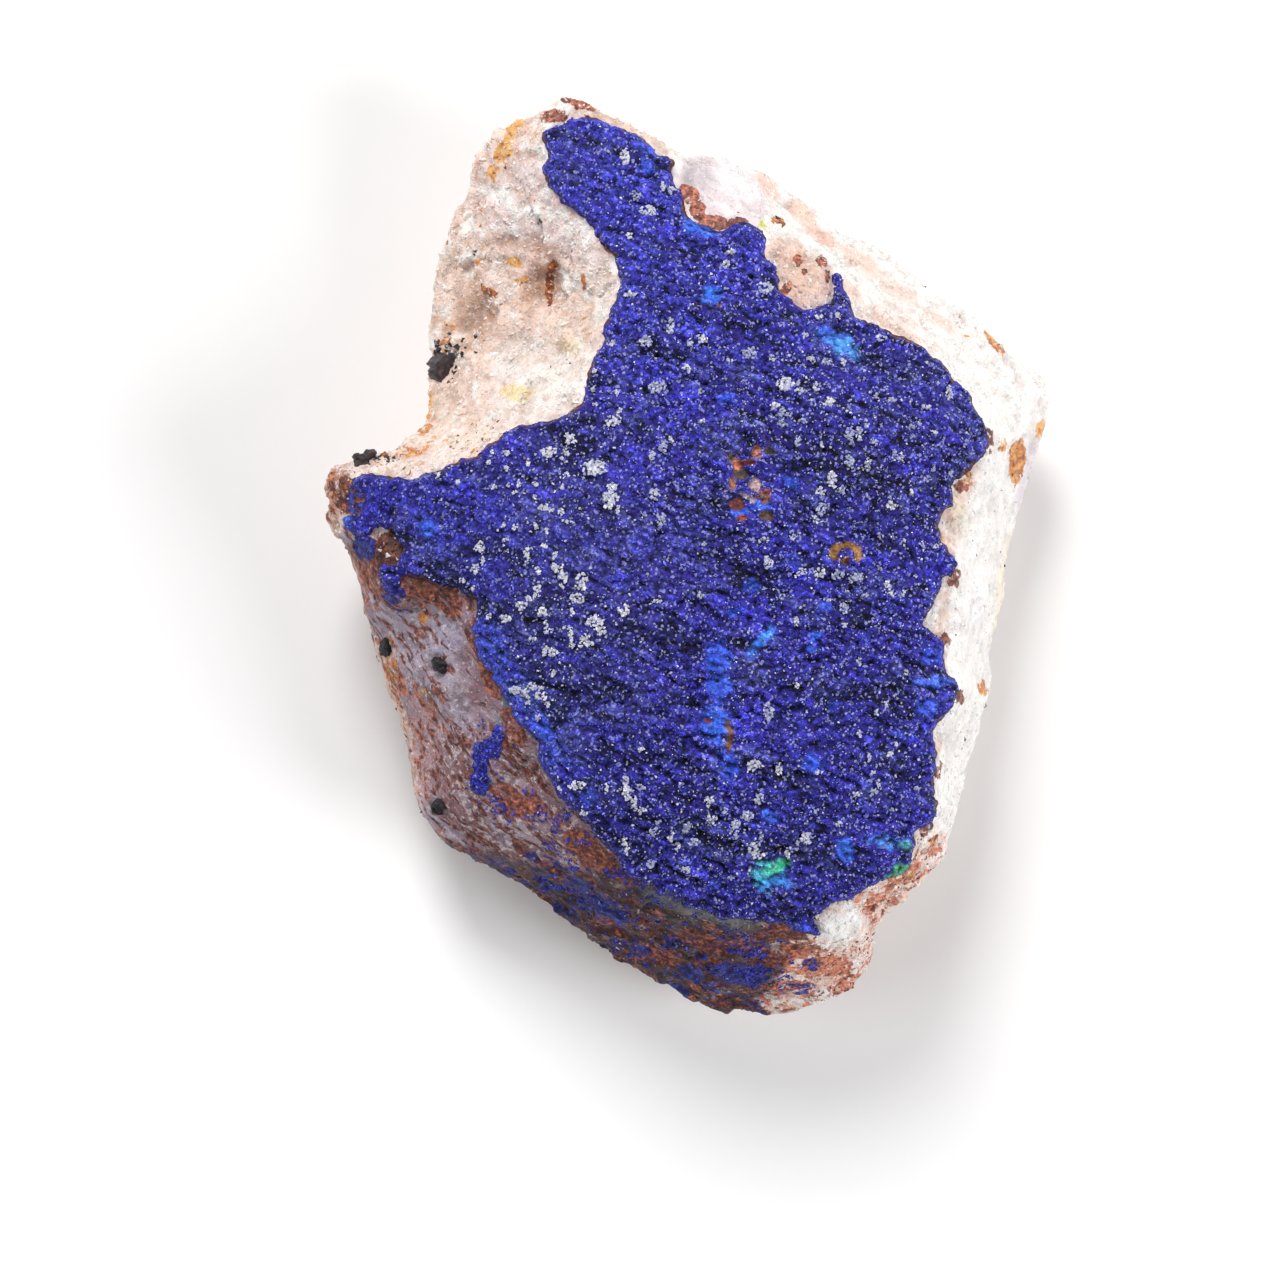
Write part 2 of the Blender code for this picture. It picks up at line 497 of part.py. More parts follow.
def sheet(name, ring, thick, edge, reach, colour, roughness, seed):
    """A sheet that follows the rock inside a ring, thinner at its edge, on a clearance of GAP."""
    own = tris[inside(middle, ring)]
    p, t = used_only(np.arange(len(upper)), own)
    away = to_edges(upper[p][:, :2], [(ring, True)])
    share = np.clip(away / reach, 0, 1)
    depth = edge + (thick - edge) * share * (2 - share)
    depth += 0.22 * thick * lattice_noise(upper[p], 3.4e-3, seed) * share
    n = normals[p]
    bottom = upper[p] + n * GAP
    top = bottom + n * depth[:, None]
    ends = np.vstack([t[:, [0, 1]], t[:, [1, 2]], t[:, [2, 0]]])
    codes = np.sort(ends, axis=1) @ np.array([len(p), 1])
    values, counts = np.unique(codes, return_counts=True)
    rim_ends = ends[np.isin(codes, values[counts == 1])]
    m = len(p)
    a, b = rim_ends[:, 0], rim_ends[:, 1]
    walls = np.vstack([np.c_[a, b, b + m], np.c_[a, b + m, a + m]])
    return make(name, np.vstack([bottom, top]), np.vstack([t[:, ::-1], t + m, walls]), colour, roughness)


# ---------------------------------------------------------------- build
for old in list(bpy.data.objects):
    bpy.data.objects.remove(old)

matrix = make("host_rock", points, faces, (0.72, 0.55, 0.47), 0.75)
sheet("azurite_crust", crust_rim[:, :2], CRUST, CRUST_EDGE, 2.2e-3, (0.012, 0.014, 0.16), 0.35, 71)
sheet("azurite_streak", streak_xy, STREAK, 0.4e-3, 1.0e-3, (0.012, 0.014, 0.20), 0.4, 73)


def grain_shape(half, seed):
    """A blunt broken crystal: an icosphere cut by seeded flats."""
    made = bmesh.new()
    bmesh.ops.create_icosphere(made, subdivisions=2, radius=1.0)
    rng = np.random.RandomState(seed)
    flats = rng.normal(size=(9, 3))
    flats /= np.linalg.norm(flats, axis=1, keepdims=True)
    reach = rng.uniform(0.78, 0.93, 9)
    for v in made.verts:
        p = np.array(v.co)
        for n, d in zip(flats, reach):
            p = p - n * max(0.0, p @ n - d)
        v.co = Vector(p * half)
    return made


def surface_at(x, y):
    """Point and normal of the upper side at a drawing position."""
    spot = laid([(x, y)], flank)[0]
    near = ((upper[:, :2] - spot[:2]) ** 2).sum(1).argsort()[:5]
    n = normals[near].mean(0)
    spot[2] += float(np.mean(upper[near[:3], 2] - flank(upper[near[:3], :2])))
    return Vector(spot), Vector(n / np.linalg.norm(n))


for name, gx, gy, across, along, deep, turn, seed in GRAINS:
    spot, normal = surface_at(gx, gy)
    frame = normal.to_track_quat("Z", "Y").to_matrix().to_4x4()
    frame = Matrix.Translation(spot - normal * deep * 0.30e-3) @ frame @ Matrix.Rotation(math.radians(turn), 4, "Z")
    half = np.array([across, along, deep]) * 1e-3
    for role, grow in (("", 0.0), ("_socket", GAP)):
        shape = grain_shape(half + grow, seed)
        bmesh.ops.transform(shape, matrix=frame, verts=shape.verts)
        bmesh.ops.recalc_face_normals(shape, faces=shape.faces)
        corners = [v.co.copy() for v in shape.verts]
        loops = [[v.index for v in f.verts] for f in shape.faces]
        shape.free()
        obj = make(name + role, corners, loops, (0.03, 0.025, 0.03), 0.4)
        if role:
            obj.hide_render = True
            obj.display_type = "WIRE"
            cut = matrix.modifiers.new(name + role, "BOOLEAN")
            cut.operation, cut.object, cut.solver = "DIFFERENCE", obj, "EXACT"
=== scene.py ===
import math

import bmesh
import bpy
import numpy as np
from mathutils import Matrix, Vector
from mathutils.bvhtree import BVHTree
from mathutils.geometry import delaunay_2d_cdt


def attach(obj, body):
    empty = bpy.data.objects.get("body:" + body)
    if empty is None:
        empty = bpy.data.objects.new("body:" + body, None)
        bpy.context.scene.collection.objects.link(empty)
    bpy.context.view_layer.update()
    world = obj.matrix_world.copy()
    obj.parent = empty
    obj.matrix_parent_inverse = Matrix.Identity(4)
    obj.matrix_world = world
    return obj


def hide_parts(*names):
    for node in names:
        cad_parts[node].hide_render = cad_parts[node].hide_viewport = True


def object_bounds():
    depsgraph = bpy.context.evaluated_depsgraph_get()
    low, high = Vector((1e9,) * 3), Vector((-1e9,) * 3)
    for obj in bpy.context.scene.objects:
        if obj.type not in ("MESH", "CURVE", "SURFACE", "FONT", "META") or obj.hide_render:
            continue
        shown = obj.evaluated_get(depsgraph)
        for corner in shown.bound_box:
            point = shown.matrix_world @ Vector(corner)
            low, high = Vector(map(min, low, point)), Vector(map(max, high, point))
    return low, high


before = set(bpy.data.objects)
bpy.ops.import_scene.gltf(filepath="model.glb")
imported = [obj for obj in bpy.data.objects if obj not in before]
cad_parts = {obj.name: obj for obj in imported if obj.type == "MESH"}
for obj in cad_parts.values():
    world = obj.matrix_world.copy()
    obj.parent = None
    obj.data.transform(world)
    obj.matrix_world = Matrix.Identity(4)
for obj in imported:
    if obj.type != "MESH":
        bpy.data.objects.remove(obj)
CAD_BOX = [list(v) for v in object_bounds()]
BOX_LO, BOX_HI = (np.array(v) for v in CAD_BOX)
MM = 1e-3

# ---------------------------------------------------------------- drawing units, as in the CAD
UNIT = 0.131e-3
CENTRE = (688.8152, 562.2063)
AXIS = (640.0, 640.0)
VIEW = 0.560
Z_MID = 0.025


def place(x, y, z):
    """Drawing position (X right, Y down) at a height in metres to a place in the row frame."""
    near = (VIEW - (z - Z_MID)) / VIEW
    return np.stack(
        [
            ((x - AXIS[0]) * near + AXIS[0] - CENTRE[0]) * UNIT,
            ((AXIS[1] - y) * near + CENTRE[1] - AXIS[1]) * UNIT,
            z + 0 * x,
        ],
        -1,
    )


def drawing(p):
    """Drawing position of points in the row frame."""
    near = (VIEW - (p[:, 2] - Z_MID)) / VIEW
    return (
        (p[:, 0] / UNIT + CENTRE[0] - AXIS[0]) / near + AXIS[0],
        AXIS[1] - (p[:, 1] / UNIT - CENTRE[1] + AXIS[1]) / near,
    )


# ---------------------------------------------------------------- noise
def mixed(h):
    h = (h ^ (h >> np.uint32(16))) * np.uint32(0x7FEB352D)
    h = (h ^ (h >> np.uint32(15))) * np.uint32(0x846CA68B)
    return h ^ (h >> np.uint32(16))


def cell_hash(c, seed):
    c = c.astype(np.int64)
    h = (
        (c[..., 0] * 73856093) ^ (c[..., 1] * 19349663) ^ (c[..., 2] * 83492791) ^ (seed * 40503)
    ) & 0xFFFFFFFF
    return mixed(h.astype(np.uint32))


def grad(p, size, seed):
    """Smooth gradient noise, about -1 to 1."""
    q = p / size + 57.3
    cell = np.floor(q)
    f = q - cell
    u = f * f * f * (f * (f * 6 - 15) + 10)
    out = np.zeros(len(p))
    for dx in (0, 1):
        for dy in (0, 1):
            for dz in (0, 1):
                h = cell_hash(cell + (dx, dy, dz), seed)
                gx = (h & np.uint32(1023)).astype(float) / 511.5 - 1
                gy = ((h >> np.uint32(10)) & np.uint32(1023)).astype(float) / 511.5 - 1
                gz = ((h >> np.uint32(20)) & np.uint32(1023)).astype(float) / 511.5 - 1
                w = (
                    (u[:, 0] if dx else 1 - u[:, 0])
                    * (u[:, 1] if dy else 1 - u[:, 1])
                    * (u[:, 2] if dz else 1 - u[:, 2])
                )
                out += w * (gx * (f[:, 0] - dx) + gy * (f[:, 1] - dy) + gz * (f[:, 2] - dz))
    return out * 1.35


def fbm(p, size, seed, octaves=3, keep=0.5):
    out, amount, total = 0, 1.0, 0.0
    for k in range(octaves):
        out = out + amount * grad(p, size * 0.5**k, seed + 17 * k)
        total += amount
        amount *= keep
    return out / total


def cells(p, size, seed):
    """Nearest and second nearest distance to scattered points, the offset to the nearest, and three random numbers of it."""
    q = p / size + 31.7
    base = np.floor(q)
    f1 = np.full(len(p), 1e9)
    f2 = np.full(len(p), 1e9)
    away = np.zeros_like(p)
    code = np.zeros(len(p), np.uint32)
    for dx in (-1, 0, 1):
        for dy in (-1, 0, 1):
            for dz in (-1, 0, 1):
                c = base + (dx, dy, dz)
                h = cell_hash(c, seed)
                spot = c + np.stack(
                    [
                        (h & np.uint32(1023)).astype(float) / 1023,
                        ((h >> np.uint32(10)) & np.uint32(1023)).astype(float) / 1023,
                        ((h >> np.uint32(20)) & np.uint32(1023)).astype(float) / 1023,
                    ],
                    -1,
                )
                off = q - spot
                d = (off**2).sum(1)
                nearer = d < f1
                f2 = np.where(nearer, f1, np.minimum(f2, d))
                f1 = np.where(nearer, d, f1)
                away = np.where(nearer[:, None], off, away)
                code = np.where(nearer, h, code)
    h = mixed(code + np.uint32(12345))
    rand = np.stack(
        [
            (h & np.uint32(1023)).astype(float) / 1023,
            ((h >> np.uint32(10)) & np.uint32(1023)).astype(float) / 1023,
            ((h >> np.uint32(20)) & np.uint32(1023)).astype(float) / 1023,
        ],
        -1,
    )
    return np.sqrt(f1), np.sqrt(f2), away, rand


def breaks(p, size, seed, steep=1.6, step=0.7):
    """Tilted flat breaks, about -1 to 1."""
    bent = p + 0.22 * size * np.stack([grad(p, size * 0.8, seed + 5 + k) for k in range(3)], -1)
    _, _, away, rand = cells(bent, size, seed)
    other = mixed((rand[:, 0] * 1023).astype(np.uint32) * np.uint32(7919) + (rand[:, 1] * 1023).astype(np.uint32))
    extra = (other & np.uint32(1023)).astype(float) / 1023
    return np.clip((away * (rand - 0.5)).sum(1) * steep + (extra - 0.5) * step, -1.2, 1.2)


def smooth(x, lo, hi):
    t = np.clip((x - lo) / (hi - lo), 0, 1)
    return t * t * (3 - 2 * t)


def lin(c):
    """sRGB 0-255 to linear."""
    c = np.asarray(c, float) / 255
    return np.where(c <= 0.04045, c / 12.92, ((c + 0.055) / 1.055) ** 2.4)


def blend(base, colour, mask):
    return base + (lin(colour) - base) * np.asarray(mask)[:, None]


# ---------------------------------------------------------------- shapes in drawing units
def ellipse(x, y, cx, cy, rx, ry, turn=0.0, soft=0.5):
    """1 well inside an ellipse, 0 outside, feathered over the given part of its radius."""
    a = math.radians(turn)
    u = (x - cx) * math.cos(a) + (y - cy) * math.sin(a)
    v = -(x - cx) * math.sin(a) + (y - cy) * math.cos(a)
    return 1 - smooth(np.sqrt((u / rx) ** 2 + (v / ry) ** 2), 1 - soft, 1 + soft)


def inside(points, ring):
    ring = np.asarray(ring, float)
    out = np.zeros(len(points), bool)
    x1, y1 = np.roll(ring[:, 0], -1), np.roll(ring[:, 1], -1)
    for i in range(0, len(points), 4000):
        x, y = points[i : i + 4000, 0][:, None], points[i : i + 4000, 1][:, None]
        rise = np.where(y1 == ring[:, 1], 1e-12, y1 - ring[:, 1])
        hit = ((ring[:, 1] > y) != (y1 > y)) & (x < (x1 - ring[:, 0]) * (y - ring[:, 1]) / rise + ring[:, 0])
        out[i : i + 4000] = hit.sum(1) % 2 == 1
    return out


def ring_distance(points, ring, reach):
    """Distance to a closed ring of close points, capped at reach."""
    from mathutils.kdtree import KDTree

    tree = KDTree(len(ring))
    for i, p in enumerate(ring):
        tree.insert((p[0], p[1], 0), i)
    tree.balance()
    out = np.empty(len(points))
    for i, p in enumerate(points):
        out[i] = tree.find((p[0], p[1], 0))[2]
    return np.minimum(out, reach)


def poly_mask(x, y, ring, feather):
    """1 inside a polygon of drawing units, feathered across its edge."""
    pts = np.stack([x, y], -1)
    ring = dense(np.asarray(ring, float), feather * 0.5)
    near = (x > ring[:, 0].min() - feather) & (x < ring[:, 0].max() + feather)
    near &= (y > ring[:, 1].min() - feather) & (y < ring[:, 1].max() + feather)
    out = np.zeros(len(x))
    if near.any():
        d = ring_distance(pts[near], ring, feather)
        sign = np.where(inside(pts[near], ring), 1, -1)
        out[near] = smooth(sign * d, -feather, feather)
    return out


def dense(ring, step):
    out = []
    for a, b in zip(ring, np.roll(ring, -1, axis=0)):
        n = max(1, int(math.ceil(np.linalg.norm(b - a) / step)))
        out += [a + (b - a) * k / n for k in range(n)]
    return np.array(out)


# ---------------------------------------------------------------- mesh helpers
def fill_ring(ring, points):
    """Triangles over a ring and the points inside it: flat places, triangles, and the index of each place in ring + points."""
    n = len(ring)
    both = np.vstack([ring, points])
    made = delaunay_2d_cdt([Vector(p) for p in both.tolist()], [(i, (i + 1) % n) for i in range(n)], [], 0, 1e-9, True)
    spots = np.array([tuple(v) for v in made[0]])
    tris = np.array(made[2])
    keep = inside(spots[tris].mean(1), ring)
    tris = tris[keep]
    a, b, c = (spots[tris[:, i]] for i in range(3))
    area = (b[:, 0] - a[:, 0]) * (c[:, 1] - a[:, 1]) - (b[:, 1] - a[:, 1]) * (c[:, 0] - a[:, 0])
    tris[area < 0] = tris[area < 0][:, ::-1]
    return spots, tris, np.array([o[0] if o else -1 for o in made[3]])


def mesh_arrays(obj):
    me = obj.data
    v = np.empty(len(me.vertices) * 3)
    me.vertices.foreach_get("co", v)
    faces = [tuple(p.vertices) for p in me.polygons]
    return v.reshape(-1, 3), faces


def build(name, verts, faces, materials, node=None, slot=None, smooth_faces=True):
    me = bpy.data.meshes.new(name)
    me.from_pydata(np.asarray(verts).tolist(), [], [list(map(int, f)) for f in faces])
    me.update()
    obj = bpy.data.objects.new(name, me)
    bpy.context.scene.collection.objects.link(obj)
    for m in materials:
        me.materials.append(m)
    me.polygons.foreach_set("use_smooth", [smooth_faces] * len(me.polygons))
    if node or slot:
        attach(obj, "root")
        if node:
            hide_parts(*([node] if isinstance(node, str) else node))
    return obj


def build_tris(name, verts, tris, materials, node=None, smooth_faces=False):
    """The same from arrays, quickly."""
    me = bpy.data.meshes.new(name)
    verts = np.ascontiguousarray(verts, np.float32)
    tris = np.ascontiguousarray(tris, np.int32)
    me.vertices.add(len(verts))
    me.vertices.foreach_set("co", verts.ravel())
    me.loops.add(tris.size)
    me.loops.foreach_set("vertex_index", tris.ravel())
    me.polygons.add(len(tris))
    me.polygons.foreach_set("loop_start", np.arange(0, tris.size, 3, dtype=np.int32))
    me.polygons.foreach_set("use_smooth", [smooth_faces] * len(tris))
    me.update(calc_edges=True)
    me.validate()
    obj = bpy.data.objects.new(name, me)
    bpy.context.scene.collection.objects.link(obj)
    for m in materials:
        me.materials.append(m)
    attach(obj, "root")
    if node:
        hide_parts(*([node] if isinstance(node, str) else node))
    return obj


def put_colour(obj, colour, name="tint"):
    a = obj.data.color_attributes.new(name, "FLOAT_COLOR", "POINT")
    full = np.ones((len(obj.data.vertices), 4), np.float32)
    full[:, : colour.shape[1]] = np.clip(colour, 0, 1)
    a.data.foreach_set("color", full.ravel())


def put_value(obj, value, name):
    a = obj.data.attributes.new(name, "FLOAT", "POINT")
    a.data.foreach_set("value", np.asarray(value, np.float32))


def normals_of(verts, tris):
    a, b, c = (verts[tris[:, i]] for i in range(3))
    face = np.cross(b - a, c - a)
    out = np.zeros_like(verts)
    for i in range(3):
        for k in range(3):
            out[:, k] += np.bincount(tris[:, i], face[:, k], len(verts))
    return out / np.maximum(np.linalg.norm(out, axis=1, keepdims=True), 1e-15)


def neighbours(tris, n):
    e = np.vstack([tris[:, [0, 1]], tris[:, [1, 2]], tris[:, [2, 0]]])
    e = np.unique(np.sort(e, axis=1), axis=0)
    count = np.bincount(e.ravel(), minlength=n).astype(float)
    return e, np.maximum(count, 1)


def relax(values, links, rounds, share=0.5):
    """Laplacian smoothing of positions or of any per-point values."""
    e, count = links
    flat = values.ndim == 1
    v = values[:, None].copy() if flat else values.copy()
    for _ in range(rounds):
        total = np.zeros_like(v)
        for k in range(v.shape[1]):
            total[:, k] = np.bincount(e[:, 0], v[e[:, 1], k], len(v)) + np.bincount(e[:, 1], v[e[:, 0], k], len(v))
        v += share * (total / count[:, None] - v)
    return v[:, 0] if flat else v


def remesh(objects, voxel, name):
    """One closed voxel surface round all the objects, as vertices and triangles."""
    verts, faces, start = [], [], 0
    for v, f in objects:
        verts.append(v)
        faces += [tuple(i + start for i in face) for face in f]
        start += len(v)
    me = bpy.data.meshes.new(name)
    me.from_pydata(np.vstack(verts).tolist(), [], faces)
    obj = bpy.data.objects.new(name, me)
    bpy.context.scene.collection.objects.link(obj)
    mod = obj.modifiers.new("remesh", "REMESH")
    mod.mode, mod.voxel_size, mod.use_smooth_shade = "VOXEL", voxel, True
    tri = obj.modifiers.new("tri", "TRIANGULATE")
    bpy.context.view_layer.update()
    out = obj.evaluated_get(bpy.context.evaluated_depsgraph_get()).to_mesh()
    v = np.empty(len(out.vertices) * 3)
    out.vertices.foreach_get("co", v)
    t = np.empty(len(out.polygons) * 3, np.int32)
    out.polygons.foreach_get("vertices", t)
    bpy.data.objects.remove(obj)
    return v.reshape(-1, 3), t.reshape(-1, 3)


# ---------------------------------------------------------------- materials
class Nodes:
    """Short hand for building one material's nodes."""

    def __init__(self, name):
        self.m = bpy.data.materials.new(name)
        self.m.use_nodes = True
        self.t = self.m.node_tree
        self.s = self.t.nodes["Principled BSDF"]
        self.where = self.add("ShaderNodeTexCoord").outputs["Object"]

    def add(self, kind, **values):
        n = self.t.nodes.new(kind)
        for k, v in values.items():
            setattr(n, k, v)
        return n

    def link(self, a, b):
        self.t.links.new(a, b)

    def into(self, socket, value):
        if isinstance(value, (int, float)):
            socket.default_value = value
        elif isinstance(value, (tuple, list)):
            socket.default_value = (*value, 1.0) if len(value) == 3 and len(socket.default_value) == 4 else value
        else:
            self.link(value, socket)

    def attribute(self, name):
        n = self.add("ShaderNodeAttribute", attribute_name=name)
        return n.outputs["Color"]

    def value(self, name):
        n = self.add("ShaderNodeAttribute", attribute_name=name)
        return n.outputs["Fac"]

    def stretched(self, angle, along):
        """Coordinates for a pattern that is drawn out along a direction of the XY plane."""
        n = self.add("ShaderNodeMapping", vector_type="TEXTURE")
        self.link(self.where, n.inputs["Vector"])
        n.inputs["Rotation"].default_value = (0, 0, math.radians(angle))
        n.inputs["Scale"].default_value = (along, 1, 1)
        return n.outputs["Vector"]

    def noise(self, size_mm, detail=3.0, rough=0.55, distort=0.0, offset=0.0, where=None):
        n = self.add("ShaderNodeTexNoise")
        self.link(self.shifted(offset) if where is None else where, n.inputs["Vector"])
        n.inputs["Scale"].default_value = 1000.0 / size_mm
        n.inputs["Detail"].default_value = detail
        n.inputs["Roughness"].default_value = rough
        n.inputs["Distortion"].default_value = distort
        return n.outputs["Fac"]

    def voronoi(self, size_mm, feature="F1", out="Distance", offset=0.0, where=None):
        n = self.add("ShaderNodeTexVoronoi", feature=feature)
        self.link(self.shifted(offset) if where is None else where, n.inputs["Vector"])
        n.inputs["Scale"].default_value = 1000.0 / size_mm
        return n.outputs[out]

    def shifted(self, offset):
        if not offset:
            return self.where
        n = self.add("ShaderNodeVectorMath", operation="ADD")
        self.link(self.where, n.inputs[0])
        n.inputs[1].default_value = (offset, offset * 0.7, -offset)
        return n.outputs[0]

    def ramp(self, value, stops):
        n = self.add("ShaderNodeValToRGB")
        self.link(value, n.inputs["Fac"])
        els = n.color_ramp.elements
        while len(els) < len(stops):
            els.new(0.5)
        for e, (pos, col) in zip(els, stops):
            e.position = pos
            e.color = (*col, 1) if isinstance(col, (tuple, list, np.ndarray)) else (col, col, col, 1)
        return n.outputs["Color"]

    def span(self, value, lo, hi, to_lo=0.0, to_hi=1.0):
        n = self.add("ShaderNodeMapRange", interpolation_type="SMOOTHSTEP")
        self.into(n.inputs["Value"], value)
        n.inputs["From Min"].default_value = lo
        n.inputs["From Max"].default_value = hi
        n.inputs["To Min"].default_value = to_lo
        n.inputs["To Max"].default_value = to_hi
        return n.outputs["Result"]

    def math(self, operation, a, b=0.0):
        n = self.add("ShaderNodeMath", operation=operation)
        self.into(n.inputs[0], a)
        self.into(n.inputs[1], b)
        return n.outputs[0]

    def mix(self, a, b, fac, kind="MIX"):
        n = self.add("ShaderNodeMix", data_type="RGBA", blend_type=kind)
        self.into(n.inputs["Factor"], fac)
        self.into(n.inputs[6], a)
        self.into(n.inputs[7], b)
        return n.outputs[2]

    def patches(self, density, noise, top=0.74, gain=0.32, edge=0.03):
        """Sharp-edged patches of a noise, covering more where the density attribute is higher."""
        d = self.value(density)
        level = self.math("SUBTRACT", top, self.math("MULTIPLY", d, gain))
        m = self.span(self.math("SUBTRACT", noise, level), -edge, edge)
        return self.math("MULTIPLY", m, self.span(d, 0.0, 0.12))

    def bump(self, height, distance, strength=1.0, before=None):
        n = self.add("ShaderNodeBump")
        self.link(height, n.inputs["Height"])
        n.inputs["Distance"].default_value = distance
        n.inputs["Strength"].default_value = strength
        if before is not None:
            self.link(before, n.inputs["Normal"])
        return n.outputs["Normal"]


def rock_material():
    k = Nodes("host_rock_stone")
    # sugary grains of 0.4 to 0.9 mm, each a little lighter or darker
    part = k.add("ShaderNodeSeparateColor")
    k.link(k.voronoi(1.1, out="Color"), part.inputs[0])
    part2 = k.add("ShaderNodeSeparateColor")
    k.link(k.voronoi(0.40, out="Color", offset=0.013), part2.inputs[0])
    shade = k.math("ADD", k.math("MULTIPLY", part.outputs[0], 0.18), k.math("MULTIPLY", part2.outputs[1], 0.10))
    shade = k.math("ADD", shade, k.math("MULTIPLY", k.noise(2.2, 5, 0.6), 0.20))
    c = k.mix(k.attribute("tint"), k.ramp(shade, [(0.11, 0.60), (0.25, 1.0), (0.40, 1.22)]), k.value("mottle"), "MULTIPLY")
    # creamy to tan veils
    veil = k.math("MULTIPLY", k.span(k.noise(3.1, 5, 0.62, 0.4, offset=0.02), 0.52, 0.66), k.value("warm"))
    c = k.mix(c, (0.66, 0.40, 0.25), k.math("MULTIPLY", veil, 0.45))
    warm = k.math("MULTIPLY", k.span(part2.outputs[0], 0.90, 0.97), k.value("warm"))
    c = k.mix(c, (0.60, 0.32, 0.18), k.math("MULTIPLY", warm, 0.4))
    # iron films and stains run from light (tone 0) to dark (tone 1)
    tone = k.math("MULTIPLY", k.math("SUBTRACT", 0.5, k.value("tone")), 0.36)
    # white crystal bits
    bits = k.mix(k.attribute("tint"), (0.90, 0.86, 0.86), 0.5)
    c = k.mix(c, bits, k.patches("pale", k.noise(0.8, 5, 0.65, offset=0.05), 0.72, 0.26, 0.03))
    # red-brown iron films, drawn out down to the right
    brown = k.patches("brown", k.noise(1.5, 6, 0.68, 0.5, where=k.stretched(-40, 2.6)), 0.74, 0.34, 0.035)
    k_brown = k.math("ADD", k.noise(0.7, 4, 0.6, offset=0.06), tone)
    k_brown = k.ramp(k_brown, [(0.33, (0.030, 0.008, 0.008)), (0.50, (0.165, 0.045, 0.032)), (0.61, (0.44, 0.135, 0.075)), (0.72, (0.76, 0.27, 0.155))])
    c = k.mix(c, k_brown, k.math("MULTIPLY", brown, 0.94))
    # azurite films
    blue = k.patches("blue", k.noise(1.7, 7, 0.70, 0.8, where=k.stretched(12, 1.8)), 0.74, 0.34, 0.025)
    k_blue = k.ramp(k.noise(0.8, 5, 0.65, offset=0.07), [(0.34, (0.006, 0.006, 0.035)), (0.50, (0.020, 0.020, 0.19)), (0.66, (0.06, 0.10, 0.56))])
    c = k.mix(c, k_blue, k.math("MULTIPLY", blue, 0.95))
    # yellow to rust stains
    rust = k.patches("rust", k.noise(1.3, 6, 0.65, 0.5, offset=0.08), 0.74, 0.34, 0.04)
    k_rust = k.math("ADD", k.noise(0.9, 4, 0.6, offset=0.09), tone)
    k_rust = k.ramp(k_rust, [(0.33, (0.20, 0.034, 0.007)), (0.50, (0.58, 0.18, 0.040)), (0.68, (0.90, 0.48, 0.13))])
    c = k.mix(c, k_rust, k.math("MULTIPLY", rust, 0.9))
    # dark specks
    speck = k.math("MULTIPLY", k.span(k.noise(0.62, 2, 0.5, offset=0.04), 0.645, 0.675), k.value("speck"))
    c = k.mix(c, (0.045, 0.024, 0.02), speck)
    k.into(k.s.inputs["Base Color"], c)
    rough = k.math("ADD", k.value("rough"), k.math("MULTIPLY", k.math("SUBTRACT", part.outputs[1], 0.5), 0.25))
    k.link(rough, k.s.inputs["Roughness"])
    k.s.inputs["IOR"].default_value = 1.53
    k.s.inputs["Specular IOR Level"].default_value = 0.22
    b = k.bump(k.noise(1.3, 6, 0.65), 0.00050, 0.85)
    b = k.bump(k.voronoi(0.55, "DISTANCE_TO_EDGE"), 0.00022, 0.7, b)
    k.link(b, k.s.inputs["Normal"])
    return k.m


def azurite_material():
    k = Nodes("azurite_crust_stone")
    part = k.add("ShaderNodeSeparateColor")
    k.link(k.voronoi(0.30, out="Color"), part.inputs[0])
    part2 = k.add("ShaderNodeSeparateColor")
    k.link(k.voronoi(0.56, out="Color", where=k.stretched(-16, 1.7)), part2.inputs[0])
    # crystals of 0.3 to 0.7 mm, lighter and darker, in bands that run across
    shade = k.math("ADD", k.math("MULTIPLY", part.outputs[0], 0.30), k.math("MULTIPLY", part2.outputs[0], 0.20))
    shade = k.math("ADD", shade, k.math("MULTIPLY", k.noise(0.9, 5, 0.65, where=k.stretched(-17, 1.5)), 0.30))
    shade = k.math("ADD", shade, k.math("MULTIPLY", k.noise(1.1, 4, 0.6, where=k.stretched(-16, 3.2)), 0.22))
    c = k.mix(k.attribute("tint"), k.ramp(shade, [(0.28, 0.08), (0.46, 0.62), (0.60, 1.35), (0.76, 3.0)]), k.span(k.value("crystal"), 0, 1, 0.45, 1.0), "MULTIPLY")
    violet = k.math("MULTIPLY", k.span(part2.outputs[1], 0.72, 0.80), k.value("crystal"))
    c = k.mix(c, (0.055, 0.035, 0.46), k.math("MULTIPLY", violet, 0.4))
    # painted glints: a few pale cells in the base colour stand for sparkling facets
    painted_glint = k.math("MULTIPLY", k.span(part.outputs[1], 0.90, 0.93), k.value("crystal"))
    c = k.mix(c, (0.36, 0.38, 0.78), k.math("MULTIPLY", painted_glint, 0.72))
    # brown iron where the crust runs out
    brown = k.patches("brown", k.noise(1.0, 6, 0.65, 0.5, offset=0.03), 0.72, 0.34, 0.03)
    k_brown = k.ramp(k.noise(0.6, 4, 0.6, offset=0.06), [(0.35, (0.035, 0.012, 0.012)), (0.52, (0.12, 0.04, 0.03)), (0.70, (0.26, 0.11, 0.08))])
    c = k.mix(c, k_brown, brown)
    k.into(k.s.inputs["Base Color"], c)
    k.link(k.span(part.outputs[2], 0.80, 0.90, 0.78, 0.22), k.s.inputs["Roughness"])
    k.s.inputs["IOR"].default_value = 1.6
    k.s.inputs["Specular IOR Level"].default_value = 0.16
    b = k.bump(k.noise(0.7, 5, 0.65), 0.00034, 0.85)
    b = k.bump(k.voronoi(0.34, "F1"), 0.00020, 0.75, b)
    k.link(b, k.s.inputs["Normal"])
    return k.m


